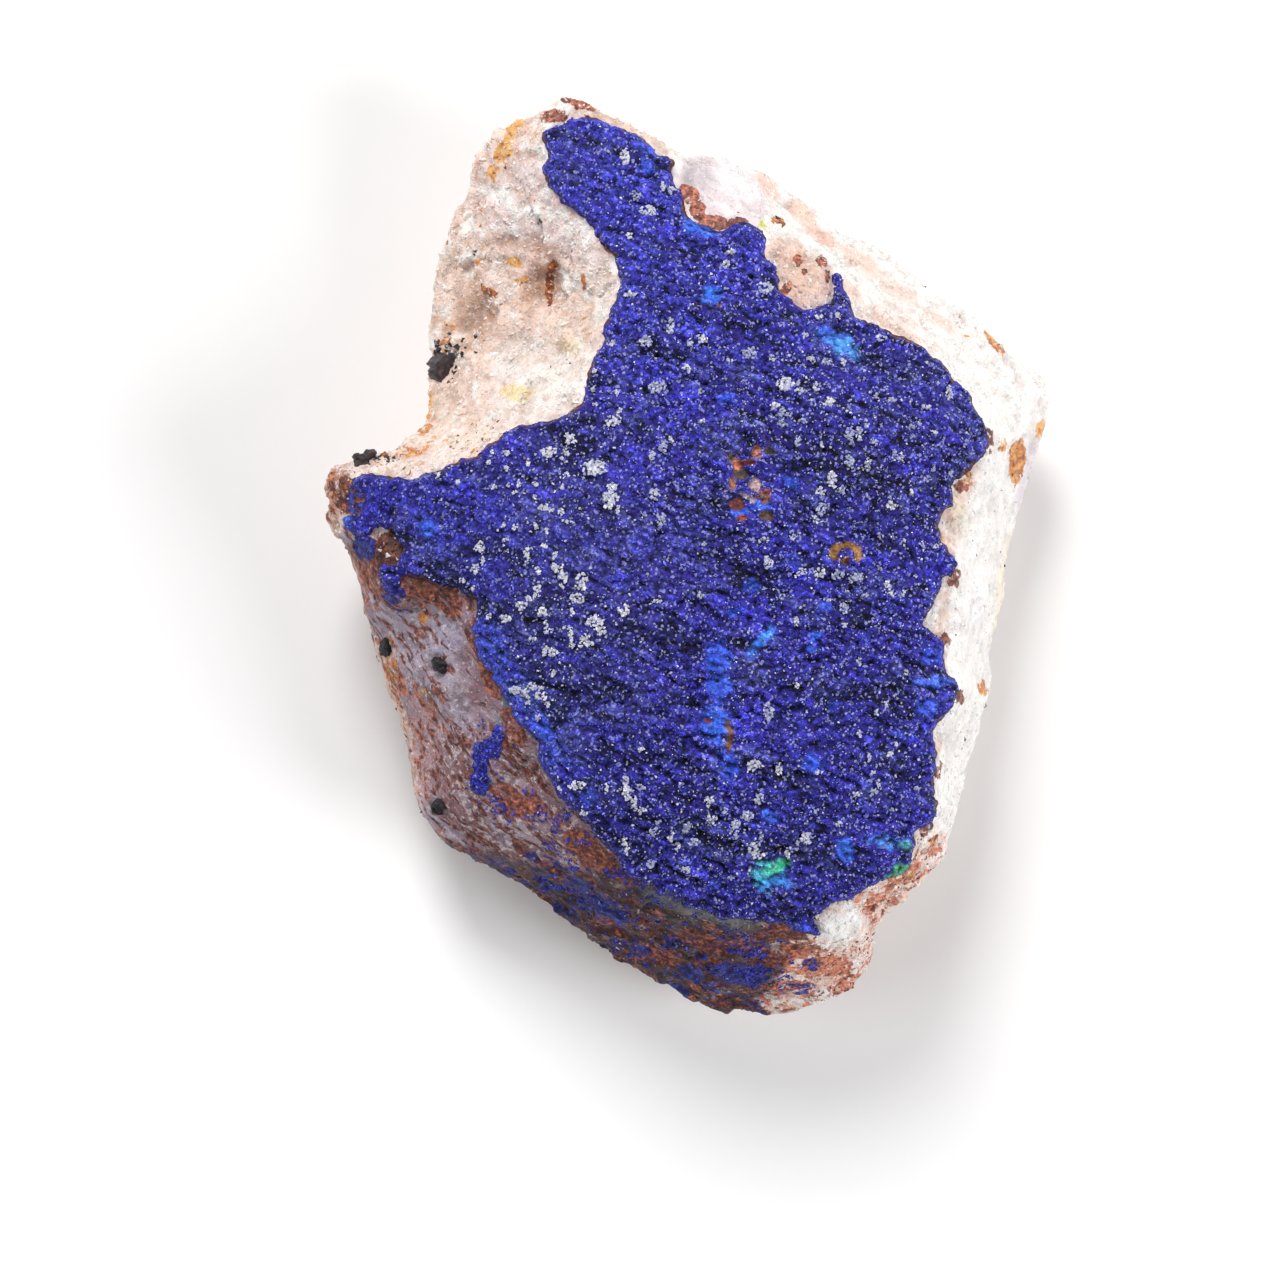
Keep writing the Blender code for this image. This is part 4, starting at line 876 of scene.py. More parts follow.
# Soft tints of the bare rock: x, y, half sizes, turn, colour, strength.
STAINS = [
    (517, 392, 16, 8, 0, (240, 206, 104), 0.6), (570, 345, 14, 9, 0, (240, 210, 150), 0.4),
    # the brown tints over the upper-left pits are partly painted shade in those hollows, partly the rock's own brown
    (470, 310, 18, 28, 20, (176, 134, 108), 0.6), (488, 330, 18, 14, 0, (188, 146, 120), 0.5),
    (528, 244, 28, 10, 10, (202, 164, 142), 0.55), (545, 275, 16, 30, 0, (182, 134, 106), 0.6),
    (536, 300, 26, 14, -10, (196, 152, 126), 0.5), (446, 400, 14, 22, 0, (206, 180, 160), 0.5),
    (505, 196, 13, 8, 0, (255, 252, 248), 0.9), (535, 212, 12, 9, 0, (255, 252, 248), 0.8),
    (578, 232, 16, 16, 0, (252, 244, 240), 0.8), (592, 270, 14, 20, 0, (246, 232, 226), 0.7),
    (604, 300, 8, 20, 10, (248, 236, 228), 0.7), (560, 375, 30, 12, -20, (252, 240, 232), 0.7),
    (520, 350, 34, 14, -10, (240, 224, 216), 0.6), (560, 130, 20, 10, 0, (250, 240, 234), 0.7),
    (762, 223, 5, 4, 0, (206, 200, 96), 0.9), (768, 180, 12, 8, 20, (242, 196, 178), 0.7),
    (772, 192, 12, 7, 30, (244, 200, 184), 0.6), (802, 212, 18, 8, 35, (242, 190, 166), 0.7),
    (822, 236, 20, 8, 35, (240, 190, 168), 0.7), (862, 262, 26, 9, 35, (242, 202, 184), 0.7),
    (850, 290, 16, 7, 30, (236, 194, 176), 0.6), (902, 296, 24, 8, 35, (242, 206, 190), 0.6),
    (940, 322, 20, 8, 38, (240, 200, 184), 0.6), (796, 276, 20, 26, 20, (214, 180, 162), 0.75),
    (790, 250, 16, 12, 20, (206, 164, 144), 0.6), (826, 284, 7, 16, 0, (196, 160, 150), 0.6),
    (880, 326, 26, 8, 35, (240, 214, 206), 0.5), (905, 320, 12, 8, 30, (226, 196, 186), 0.5),
    # the lilac-grey tints on the steep outer facet at the right are partly painted shade of that facet, partly its own
    # colour
    (1028, 480, 12, 40, 8, (222, 212, 224), 0.7), (1036, 452, 8, 18, 5, (232, 216, 222), 0.5),
    (965, 520, 9, 16, 0, (226, 220, 204), 0.6), (956, 508, 8, 8, 0, (236, 222, 190), 0.5),
    (975, 600, 10, 22, 0, (252, 250, 250), 0.6), (958, 620, 8, 12, 0, (214, 208, 206), 0.6),
    (950, 740, 8, 20, 0, (226, 222, 222), 0.6), (1002, 590, 5, 60, 8, (250, 232, 206), 0.6),
    (440, 440, 28, 8, -8, (246, 220, 206), 0.7), (408, 452, 22, 6, -12, (230, 180, 156), 0.6),
    (470, 436, 20, 8, -20, (250, 230, 214), 0.7), (352, 462, 22, 6, 0, (206, 160, 144), 0.6),
    (335, 490, 13, 26, 0, (190, 132, 114), 0.9), (354, 503, 14, 16, 0, (128, 92, 94), 0.9), (372, 545, 16, 18, 0, (92, 66, 78), 0.9),
    (352, 566, 8, 22, -15, (158, 112, 102), 0.8),
    (375, 520, 10, 30, 0, (206, 168, 156), 0.4), (356, 600, 9, 40, -10, (232, 206, 196), 0.6),
    (384, 690, 9, 34, -20, (236, 206, 176), 0.8), (398, 760, 8, 40, -8, (232, 204, 192), 0.8),
    (424, 584, 11, 5, 0, (236, 224, 176), 0.9), (430, 694, 8, 8, 0, (92, 102, 116), 0.9),
    (506, 700, 6, 10, -30, (92, 132, 150), 0.6), (500, 722, 6, 9, -30, (100, 140, 160), 0.5),
    (442, 601, 8, 6, 0, (150, 162, 172), 0.5), (446, 640, 18, 18, 0, (180, 170, 194), 0.7),
    (428, 730, 14, 26, -20, (190, 152, 156), 0.6), (416, 770, 12, 30, -10, (196, 158, 160), 0.6),
    (430, 836, 16, 12, 20, (214, 176, 160), 0.6), (520, 832, 34, 10, 24, (186, 166, 178), 0.6),
    (560, 856, 26, 7, 30, (180, 156, 168), 0.5), (712, 914, 46, 6, 12, (118, 124, 126), 0.55),
    (672, 902, 22, 4, 20, (106, 116, 122), 0.5), (645, 893, 12, 4, 25, (110, 120, 126), 0.35),
    (612, 918, 12, 9, 20, (40, 84, 190), 0.8), (694, 972, 11, 8, 0, (44, 92, 200), 0.8),
    (716, 994, 12, 4, -12, (70, 150, 190), 0.7), (811, 965, 10, 6, 0, (48, 76, 170), 0.8),
    (640, 950, 9, 7, 0, (40, 76, 180), 0.6), (578, 886, 10, 7, 20, (40, 80, 180), 0.6),
    (842, 924, 22, 20, 20, (253, 250, 249), 1.0), (868, 962, 9, 20, 0, (244, 226, 220), 0.8),
    (818, 1000, 28, 8, 0, (250, 240, 236), 0.9), (800, 990, 20, 6, -10, (206, 130, 104), 0.4),
    (872, 925, 10, 24, 10, (246, 226, 218), 0.6), (890, 880, 20, 8, -40, (244, 214, 202), 0.6),
]
# Black specks set in the rock: x, y, size in mm.
DOTS = [
    (540, 222, 0.75), (477, 252, 0.85), (535, 259, 0.4), (528, 315, 0.4), (476, 335, 0.7), (482, 308, 0.4),
    (738, 213, 0.5), (430, 392, 0.45), (458, 350, 1.3), (464, 355, 0.9), (452, 344, 0.9), (438, 342, 1.1), (466, 348, 0.6),
    (505, 388, 0.35), (500, 352, 0.3), (1001, 491, 0.6), (994, 511, 0.45), (970, 530, 0.6), (972, 541, 0.5),
    (976, 555, 0.55), (955, 635, 0.45), (968, 502, 0.4), (985, 560, 0.3), (960, 662, 0.3), (778, 218, 0.7), (779, 223, 0.5),
    (448, 368, 1.0), (440, 380, 0.8), (453, 361, 0.7), (560, 250, 0.3), (498, 300, 0.35), (512, 330, 0.35), (470, 372, 0.3),
    (412, 660, 0.35), (452, 620, 0.3), (470, 830, 0.4), (452, 792, 0.35), (350, 452, 0.8), (357, 454, 0.8), (345, 456, 0.7),
]

MATERIALS = {
    "rock": rock_material(),
    "azurite": azurite_material(),
    "crystal": crystal_material(),
    "quartz": quartz_material("quartz_clusters_stone", 0.10, 0.16, 0.40),
    "grain": quartz_material("quartz_grains_stone", 0.0, 0.20, 0.5),
    "black": dark_material("black_grain_stone", (0.008, 0.007, 0.009), (0.02, 0.017, 0.022), (0.05, 0.035, 0.035)),
    "dark": dark_material("dark_crystal_stone", (0.028, 0.021, 0.023), (0.075, 0.058, 0.062), (0.20, 0.14, 0.12)),
}


# ---------------------------------------------------------------- the rock
def rock_colour(p, n):
    """Colour of the bare rock at points p with normals n, and the densities of what lies on it."""
    x, y = drawing(p)
    xd = x + 5.0 * fbm(p, 1.7 * MM, 301, 2) + 4.5 * grad(p, 4.5 * MM, 303)
    yd = y + 5.0 * fbm(p, 1.7 * MM, 305, 2) + 4.5 * grad(p, 4.5 * MM, 307)
    coarse = fbm(p, 9 * MM, 311, 3)
    fine = fbm(p, 2.4 * MM, 313, 3)
    third = fbm(p, 5 * MM, 317, 3)
    up = smooth(n[:, 2], -0.05, 0.35)
    c = np.tile(lin((232, 208, 196)), (len(p), 1))
    c = blend(c, (250, 240, 235), smooth(coarse + 0.5 * fine, 0.02, 0.4) * 0.85)
    c = blend(c, (200, 162, 140), smooth(third - 0.3 * coarse, 0.12, 0.5) * 0.7)
    c = blend(c, (214, 198, 198), smooth(-coarse + 0.4 * third, 0.2, 0.6) * 0.6)
    _, _, _, r = cells(p, 1.5 * MM, 331)
    c = blend(c, (255, 252, 250), (r[:, 0] > 0.74) * 0.55)
    c = blend(c, (206, 170, 148), (r[:, 1] > 0.80) * 0.40)
    grey = smooth(fbm(p, 13 * MM, 343, 3), 0.05, 0.34) * (1 - up)
    c = blend(c, (186, 168, 170), grey * 0.6)
    pinkish = smooth(fbm(p, 15 * MM, 345, 3), 0.05, 0.34) * (1 - up)
    c = blend(c, (226, 176, 156), pinkish * 0.55)
    out = {
        "brown": 0.30 * smooth(fbm(p, 10 * MM, 339, 3), 0.08, 0.4) * (1 - up),
        "rust": 0.85 * smooth(fbm(p, 8 * MM, 341, 4), 0.10, 0.42) * (1 - up),
        "blue": 0.62 * smooth(fbm(p, 16 * MM, 349, 2), 0.26, 0.46) * (1 - up),
        "pale": 0.45 + 0.2 * coarse,
        "speck": 0.25 + 0.75 * smooth(fbm(p, 8 * MM, 347, 2), 0.05, 0.35) * (1 - up),
        "warm": 0.45 + 0.5 * smooth(third, 0, 0.4),
        "mottle": np.full(len(p), 0.85),
        "rough": np.full(len(p), 0.62) - 0.12 * (r[:, 2] > 0.7),
        "tone": 0.45 + 0.5 * third,
    }

    def put(mask, strength=1.0, **values):
        for key, v in values.items():
            out[key] = out[key] + (v - out[key]) * np.clip(mask * strength, 0, 1)

    wander = 0.5 * fbm(p, 7 * MM, 381, 4) + 0.6 * fbm(p, 15 * MM, 383, 2)
    top_only = np.maximum(smooth(n[:, 2], -0.04, 0.06), smooth(n[:, 2] + 0.8 * wander, -0.50, -0.04))
    east = smooth(x, 860, 960) * (1 - top_only)
    c = blend(c, (244, 234, 229), east * 0.55 * smooth(fine - 0.6 * wander, -0.3, 0.2))
    right = top_only * poly_mask(
        xd, yd,
        [(660, 120), (760, 150), (900, 240), (1060, 340), (1085, 460), (1040, 600), (1020, 760), (975, 890),
         (905, 905), (925, 840), (940, 740), (955, 560), (985, 440), (930, 345), (850, 290), (770, 240), (690, 200)],
        7,
    )  # fmt: skip
    c = blend(c, (251, 246, 243), right * (0.90 - 0.3 * smooth(fine, 0.15, 0.5)))
    c = blend(c, (226, 206, 200), right * smooth(third - 0.2 * fine, 0.16, 0.42) * 0.5)
    low_right = right * smooth(y, 380, 450)
    c = blend(c, (252, 249, 247), low_right * 0.6)
    put(right, warm=0.30, mottle=0.62, speck=0.10, pale=0.5, rust=0, brown=0, blue=0)
    put(low_right, warm=0.10, mottle=0.38, speck=0.12)
    quartz = poly_mask(
        xd, yd, [(668, 160), (700, 156), (735, 164), (764, 186), (770, 214), (752, 230), (720, 236), (692, 216), (674, 196)], 4
    )
    c = blend(c, (228, 214, 217), quartz * 0.9)
    c = blend(c, (252, 247, 249), quartz * smooth(fine + 0.5 * third, -0.02, 0.3) * 0.8)
    c = blend(c, (250, 244, 246), quartz * ellipse(xd, yd, 738, 182, 26, 18, 20, 0.4) * 0.7)
    c = blend(c, (196, 186, 189), quartz * ellipse(xd, yd, 698, 178, 17, 15, 0, 0.4) * 0.75)
    put(quartz, warm=0.05, mottle=0.35, speck=0, rough=0.30, pale=0.1)
    nodule = ellipse(xd, yd, 806, 282, 28, 28, 0, 0.25)
    c = blend(c, (222, 196, 188), nodule * 0.7)
    put(nodule, mottle=0.5, rough=0.42)
    left = top_only * poly_mask(
        xd, yd,
        [(540, 110), (545, 180), (600, 240), (616, 290), (590, 370), (560, 415), (500, 440), (430, 460), (405, 430),
         (420, 300), (460, 170), (495, 105)],
        6,
    )  # fmt: skip
    c = blend(c, (245, 217, 203), left * 0.78)
    c = blend(c, (240, 218, 220), left * ellipse(xd, yd, 545, 205, 70, 56, 20, 0.5) * 0.65)
    c = blend(c, (254, 246, 241), left * smooth(fine + 0.5 * third, 0.06, 0.28) * 0.92)
    c = blend(c, (200, 154, 128), left * smooth(-fine + 0.5 * third, 0.16, 0.42) * 0.7)
    put(left, warm=0.9, speck=0.12, pale=0.5, mottle=0.6, rust=0.12, blue=0, brown=0.1)
    low = left * ellipse(xd, yd, 550, 385, 60, 36, -15, 0.5)
    c = blend(c, (252, 242, 238), low * 0.75)
    put(low, mottle=0.6, warm=0.5)
    ledge = top_only * poly_mask(xd, yd, [(322, 470), (346, 448), (420, 432), (505, 418), (540, 420), (490, 446), (430, 474), (372, 474), (345, 492), (330, 500)], 5)
    c = blend(c, (246, 226, 216), ledge * 0.7)
    put(ledge, pale=0.7, rust=0.35, warm=0.8)
    # lilac break at the left, flecked with brown
    lilac = top_only * poly_mask(xd, yd, LILAC, 6)
    streaks = fbm(np.stack([p[:, 0] * 1.0 + p[:, 1] * 0.8, (p[:, 1] - p[:, 0] * 0.8) * 0.35, p[:, 2]], -1), 3.2 * MM, 351, 3)
    c = blend(c, (172, 160, 180), lilac * 0.92)
    c = blend(c, (204, 193, 210), lilac * smooth(streaks, 0.05, 0.35) * 0.85)
    c = blend(c, (150, 116, 118), lilac * smooth(-streaks + 0.35 * fine, 0.12, 0.4) * 0.7)
    c = blend(c, (170, 136, 138), lilac * ellipse(xd, yd, 425, 740, 26, 60, -20, 0.5) * 0.7)
    put(lilac, brown=0.62, pale=0.45, rust=0.05, blue=0.10, speck=0.3, warm=0.2, mottle=0.9, tone=0.46)
    band = top_only * poly_mask(xd, yd, [(350, 545), (384, 552), (402, 568), (440, 570), (490, 590), (486, 650), (460, 628), (430, 606), (396, 612), (366, 590)], 6)
    c = blend(c, (140, 98, 94), band * 0.6)
    put(band, brown=0.95, warm=0.3)
    near_crust = top_only * poly_mask(xd, yd, [(452, 610), (490, 596), (490, 646), (528, 710), (560, 750), (578, 794), (638, 864),
                                    (650, 900), (590, 868), (535, 816), (490, 760), (462, 690), (450, 640)], 8)  # fmt: skip
    c = blend(c, (150, 118, 128), near_crust * 0.65)
    c = blend(c, (134, 88, 86), near_crust * smooth(-third + 0.4 * fine, 0.0, 0.3) * 0.6)
    c = blend(c, (176, 156, 172), near_crust * smooth(fine, 0.02, 0.3) * 0.6)
    put(near_crust, brown=0.48, blue=0.22, tone=0.58)
    low_left = top_only * poly_mask(xd, yd, [(440, 740), (505, 722), (545, 770), (560, 800), (625, 872), (560, 874), (480, 850), (440, 810)], 9)
    c = blend(c, (150, 118, 128), low_left * 0.75)
    c = blend(c, (132, 78, 76), low_left * smooth(third + 0.4 * fine, -0.1, 0.25) * 0.75)
    c = blend(c, (186, 164, 178), low_left * smooth(fine - 0.3 * third, 0.10, 0.34) * 0.6)
    put(low_left, brown=0.66, blue=0.14, pale=0.66, tone=0.6)
    outer = top_only * poly_mask(xd, yd, [(322, 500), (345, 560), (368, 640), (392, 640), (402, 700), (418, 760), (420, 830), (400, 850), (330, 700), (300, 520)], 6)
    c = blend(c, (226, 196, 180), outer * 0.75)
    put(outer, brown=0.50, rust=0.30, pale=0.6, warm=0.9, speck=0.3, tone=0.15)
    # shaded break at the bottom: brown, blue and grey, with a patch of painted shadow at its left
    xe = x + 60 * fbm(p, 3.0 * MM, 371, 4) + 12 * grad(p, 6 * MM, 373)
    ye = y + 14 * fbm(p, 3.4 * MM, 375, 3)
    bottom = top_only * poly_mask(xe, yd, BOTTOM, 9)
    blotch = fbm(p, 4.2 * MM, 361, 4)
    c = blend(c, (66, 50, 58), bottom * 0.97)
    c = blend(c, (160, 138, 142), bottom * smooth(fine - 0.5 * blotch, 0.08, 0.30) * 0.85)
    c = blend(c, (22, 17, 24), bottom * smooth(-blotch + 0.2 * fine, 0.02, 0.24) * 0.9)
    put(bottom, brown=0.70, rust=0.16, blue=0.50, pale=0.34, speck=0.6, warm=0.1, mottle=1.0, tone=0.60 + 0.9 * blotch)
    strip = bottom * np.maximum(ellipse(xd, yd, 705, 914, 62, 11, 12, 0.5), ellipse(xd, yd, 655, 899, 26, 8, 20, 0.5))
    put(strip, brown=0.45, blue=0.40, pale=0.34, rust=0.1)
    c = blend(c, (104, 108, 110), strip * smooth(fine + 0.4 * blotch, -0.25, 0.2) * 0.65)
    # painted shadow: a dark patch where the lower break lies in deep shade
    dark = bottom * ellipse(xd, yd, 520, 880, 80, 26, 20, 0.5)
    c = blend(c, (42, 34, 44), dark * 0.8)
    put(dark, blue=0.62, pale=0.1)
    end = top_only * poly_mask(xe, ye, [(790, 938), (826, 908), (880, 880), (945, 830), (965, 850), (910, 920), (890, 990), (800, 1040), (775, 1010), (785, 965)], 9)
    c = blend(c, (238, 208, 196), end * 0.9)
    c = blend(c, (254, 248, 245), end * smooth(fine, 0.0, 0.28) * 0.92)
    put(end, rust=0.10, brown=0.62, blue=0.10, pale=0.7, speck=0.25, warm=0.6, mottle=0.8, tone=0.0)

    def level_with(cx, cy, rx, ry):
        z = on_top([cx], [cy])[0][2]
        far = max(rx, ry) * UNIT * 0.85 + 0.6 * MM
        off = np.abs(p[:, 2] - z + 1.5 * MM * fine + 1.2 * MM * third)
        return (1 - smooth(off, far, far * 1.6)) if np.isfinite(z) else np.ones(len(p))

    for cx, cy, rx, ry, turn, col, s in STAINS:
        m = top_only * ellipse(xd, yd, cx, cy, rx, ry, turn, 0.4) * s
        near_ = m > 0
        if near_.any():
            c = blend(c, col, m * level_with(cx, cy, rx, ry))
    xq, yq = x * 0.4 + xd * 0.6, y * 0.4 + yd * 0.6
    for key, rows in (("brown", BROWNS), ("rust", RUSTS), ("blue", BLUES)):
        for cx, cy, rx, ry, turn, s, *dark_ in rows:
            m = ellipse(xq, yq, cx, cy, rx, ry, turn, 0.4) * top_only
            if (m > 0).any():
                m = m * level_with(cx, cy, rx, ry)
            out[key] = np.maximum(out[key], m * s)
            if dark_:
                out["tone"] = out["tone"] + (dark_[0] - out["tone"]) * smooth(m, 0, 0.3)
    white = ellipse(xd, yd, 842, 924, 24, 20, 20, 0.3)
    put(white, rust=0, brown=0, blue=0, rough=0.34, mottle=0.2)
    for key in out:
        out[key] = np.clip(out[key], 0, 1.4)
    out["rough"] = np.clip(out["rough"], 0.28, 0.85)
    return c, out


rim_dense = dense(np.array(CRUST_RIM, float), 2.0)
rim_line = on_top(rim_dense[:, 0], rim_dense[:, 1], crust_at)[:, :2]


def grain_fill(node):
    """The CAD grain, grown and sunk, so that its socket closes under it."""
    v, f = cad[node]
    mid = v.mean(0)
    spot = v[np.argmax(v[:, 2])]
    return mid + (v - mid) * 1.32 - np.array([0, 0, 0.75 * MM]), f


GRAINS = [n for n in cad if n not in ("host_rock", "azurite_crust", "azurite_streak")]
rock_v, rock_t = remesh([cad["host_rock"]] + [grain_fill(n) for n in GRAINS], 0.56 * MM, "rock_voxels")
print("rock", len(rock_v), "vertices", len(rock_t), "triangles")
links = neighbours(rock_t, len(rock_v))
rock_v = relax(rock_v, links, 14)
rock_n = relax(normals_of(rock_v, rock_t), links, 6)
rock_n /= np.linalg.norm(rock_n, axis=1, keepdims=True)

under_crust = inside(rock_v[:, :2], rim_line) & (rock_n[:, 2] > 0)
rim_near = ring_distance(rock_v[:, :2], rim_line, 6 * MM)
covered = np.where(under_crust, smooth(rim_near, 0.2 * MM, 1.4 * MM), 0)
rx, ry = drawing(rock_v)
calm = 0.55 * ellipse(rx, ry, 718, 190, 46, 30, 30, 0.3)
lilac_m = poly_mask(rx, ry, LILAC, 8) * (rock_n[:, 2] > -0.1)
right_m = smooth(rx, 930, 960) * (ry > 400) * smooth(rock_n[:, 2], -0.3, 0.1)
strength = (1 - covered) * (1 - 0.6 * calm) * (1 - 0.5 * lilac_m) * (1 - 0.35 * right_m)
near_rim = np.where(rock_n[:, 2] > 0, smooth(rim_near, 0, 2.5 * MM), 1)
big = breaks(rock_v, 9.5 * MM, 401) * 0.95 * MM * (0.35 + 0.65 * near_rim)
mid = breaks(rock_v, 4.3 * MM, 405) * 0.55 * MM * (0.5 + 0.5 * near_rim)
low = breaks(rock_v, 2.0 * MM, 409) * 0.34 * MM
f1, f2, _, cr = cells(rock_v, 1.3 * MM, 413)
sugar = (0.20 * MM) * (np.minimum(f2 - f1, 0.45) / 0.45 - 0.5) + 0.16 * MM * (cr[:, 0] - 0.5)
wave = 0.30 * MM * fbm(rock_v, 6 * MM, 417, 3)
bend = (big + mid + low + sugar + wave) * strength - 0.55 * MM * covered
# pits and knobs that show in the upper left break, under the iron streaks and at the top
for cx, cy, rx_, ry_, turn, deep in [
    (540, 288, 22, 16, 10, 1.4), (478, 322, 16, 24, 20, 1.1), (551, 282, 6, 22, 8, 0.9), (524, 244, 22, 9, 10, 0.7),
    (500, 345, 26, 10, -10, 0.6), (770, 268, 9, 16, 20, 0.8), (1016, 462, 8, 20, 10, 0.9), (560, 330, 12, 12, 0, -0.7),
    (590, 262, 16, 20, 0, -0.8), (505, 205, 16, 12, 0, -0.6), (806, 282, 22, 22, 0, -0.9), (720, 190, 34, 20, 25, -0.5),
    (842, 924, 20, 17, 20, -1.0),
]:  # fmt: skip
    bend -= deep * MM * ellipse(rx, ry, cx, cy, rx_, ry_, turn, 0.5) * (rock_n[:, 2] > 0.1) * (1 - covered)
for node in GRAINS:  # the dark grains stand clear of the rock round them
    spot = cad[node][0].mean(0)
    reach = np.abs(cad[node][0] - spot).max()
    close = 1 - smooth(np.linalg.norm(rock_v - spot, axis=1), reach * 0.9, reach * 1.6)
    bend = bend * (1 - close) + np.minimum(bend, -0.25 * MM) * close
rock_v = rock_v + rock_n * bend[:, None]
rock_v = relax(rock_v, links, 1, 0.25)
rock_v[:, 2] = np.maximum(rock_v[:, 2], 0)
rock_v = np.clip(rock_v, BOX_LO, BOX_HI)
rock_n = normals_of(rock_v, rock_t)
tint, dens = rock_colour(rock_v, rock_n)
# painted shade and light: the rock's colour is darkened in its pits and lightened on its knobs
painted_hollow_shade = relax(bend, links, 2) - relax(bend, links, 20)
tint = tint * (1 + np.clip(painted_hollow_shade / (0.30 * MM), -1, 1) * 0.18)[:, None]
rock = build_tris("host_rock_body", rock_v, rock_t, [MATERIALS["rock"]], "host_rock", True)
put_colour(rock, tint)
for key, value in dens.items():
    put_value(rock, value, key)
rock_tree = tree_of(rock_v, rock_t)


# ---------------------------------------------------------------- the azurite crust
def crust_colour(p):
    """Base colour of the crust, how much of it is crystal, and how deep a window goes."""
    x, y = drawing(p)
    xd = x + 3.2 * fbm(p, 1.1 * MM, 501, 2) * 2
    yd = y + 3.2 * fbm(p, 1.1 * MM, 503, 2) * 2
    coarse = fbm(p, 8 * MM, 511, 3)
    mid = fbm(p, 2.6 * MM, 513, 3)
    bands = 1.6 * fbm(np.stack([(p[:, 0] * 0.96 - p[:, 1] * 0.28) * 0.34, p[:, 0] * 0.28 + p[:, 1] * 0.96, p[:, 2] * 0.5], -1), 3.4 * MM, 515, 4)
    c = np.tile(lin((42, 42, 130)), (len(p), 1))
    c = blend(c, (58, 58, 126), ellipse(x, y, 560, 590, 120, 170, 10, 0.5) * 0.7)
    c = blend(c, (54, 56, 164), ellipse(x, y, 440, 535, 90, 60, 0, 0.4) * 0.6)
    c = blend(c, (58, 62, 160), ellipse(x, y, 640, 230, 120, 150, 30, 0.5) * 0.75)
    c = blend(c, (46, 46, 116), ellipse(x, y, 870, 430, 120, 110, 0, 0.5) * 0.6)
    c = blend(c, (66, 84, 196), ellipse(xd, yd, 488, 660, 24, 60, -20, 0.5) * 0.75)
    c = blend(c, (62, 82, 190), ellipse(xd, yd, 540, 735, 26, 60, -30, 0.5) * 0.6)
    c = blend(c, (60, 58, 192), smooth(mid + 0.4 * coarse + 0.5 * bands, 0.12, 0.5) * 0.7)
    c = blend(c, (80, 86, 152), smooth(coarse - 0.8 * bands + 0.4 * mid, 0.06, 0.42) * 0.6)
    # dark navy streaks along the bands: partly the crust's own tone, partly painted shade of its grooves
    c = blend(c, (20, 20, 60), smooth(-mid * 0.6 - 0.3 * coarse - bands, 0.08, 0.42) * 0.92)
    crystal = 1 - 0.30 * ellipse(x, y, 530, 590, 110, 150, 0, 0.5)
    for cx, cy, rx_, ry_, turn, col, s in PATCHES:
        m = ellipse(xd, yd, cx, cy, rx_, ry_, turn, 0.45) * s
        c = blend(c, col, np.minimum(m * 1.1, 1))
        crystal -= 0.85 * m
    for cx, cy, rx_, ry_, turn, col in GREENS:
        m = ellipse(xd, yd, cx, cy, rx_, ry_, turn, 0.4)
        c = blend(c, col, m * 0.9)
        crystal -= 0.8 * m
    deep = np.zeros(len(p))
    for cx, cy, rx_, ry_, turn, col in WINDOWS + SPOTS:
        m = ellipse(xd, yd, cx, cy, rx_, ry_, turn, 0.2)
        c = blend(c, col, m * 0.95)
        crystal -= 1.6 * m
        deep = np.maximum(deep, m)
    c = c * (1 + 0.40 * deep * (cells(p, 0.6 * MM, 505)[3][:, 0] > 0.35))[:, None]
    for cx, cy, rx_, ry_, thick, a0, a1, col in CRESCENTS:
        u, v = (0.7 * x + 0.3 * xd - cx) / rx_, (0.7 * y + 0.3 * yd - cy) / ry_
        r = np.sqrt(u * u + v * v)
        angle = np.degrees(np.arctan2(v, u))
        m = 1 - smooth(np.abs(r - 1), thick * 0.8, thick * 1.2)
        turned = (angle - a0) % 360
        m = m * (turned < (a1 - a0))
        c = blend(c, col, m * 0.9)
        crystal -= 1.5 * m
        deep = np.maximum(deep, 0.5 * m)
    return c, np.clip(crystal, 0, 1), deep


def crossings(ring):
    """Indices of ring points next to edges that cross another edge of the ring."""
    n = len(ring)
    a, b = ring, np.roll(ring, -1, axis=0)
    d = b - a
    hit = set()
    for i in range(n):
        j = np.arange(i + 2, n if i else n - 1)
        if not len(j):
            continue
        near = np.abs(a[j] - a[i]).max(1) < 2 * MM
        j = j[near]
        r = a[j] - a[i]
        den = d[i, 0] * d[j, 1] - d[i, 1] * d[j, 0]
        den = np.where(np.abs(den) < 1e-18, 1e-18, den)
        t = (r[:, 0] * d[j, 1] - r[:, 1] * d[j, 0]) / den
        u = (r[:, 0] * d[i, 1] - r[:, 1] * d[i, 0]) / den
        cut = (t > -0.05) & (t < 1.05) & (u > -0.05) & (u < 1.05)
        for k in j[cut]:
            hit |= {i, int(k)}
    return sorted(hit)


def ragged(ring, amounts, step):
    """The ring with small irregular lobes, never crossing itself."""
    ring = dense(ring, step)
    for _ in range(4):
        ring = 0.5 * ring + 0.25 * (np.roll(ring, 1, axis=0) + np.roll(ring, -1, axis=0))
    at = np.c_[ring, np.zeros(len(ring))]
    out = np.roll(ring, -3, axis=0) - np.roll(ring, 3, axis=0)
    out = np.c_[-out[:, 1], out[:, 0]] / np.maximum(np.linalg.norm(out, axis=1, keepdims=True), 1e-9)
    ring = ring + out * sum(a * MM * grad(at, size * MM, 521 + i) for i, (a, size) in enumerate(amounts))[:, None]
    n = len(ring)
    for _ in range(30):
        bad = crossings(ring)
        if not bad:
            break
        move = sorted({(i + k) % n for i in bad for k in range(-5, 6)})
        for _ in range(3):
            mean = 0.5 * (np.roll(ring, 1, axis=0) + np.roll(ring, -1, axis=0))
            ring[move] = 0.3 * ring[move] + 0.7 * mean[move]
    return ring


fine_rim = ragged(rim_line, [(0.34, 2.0), (0.30, 1.0), (0.16, 0.55)], 0.26 * MM)

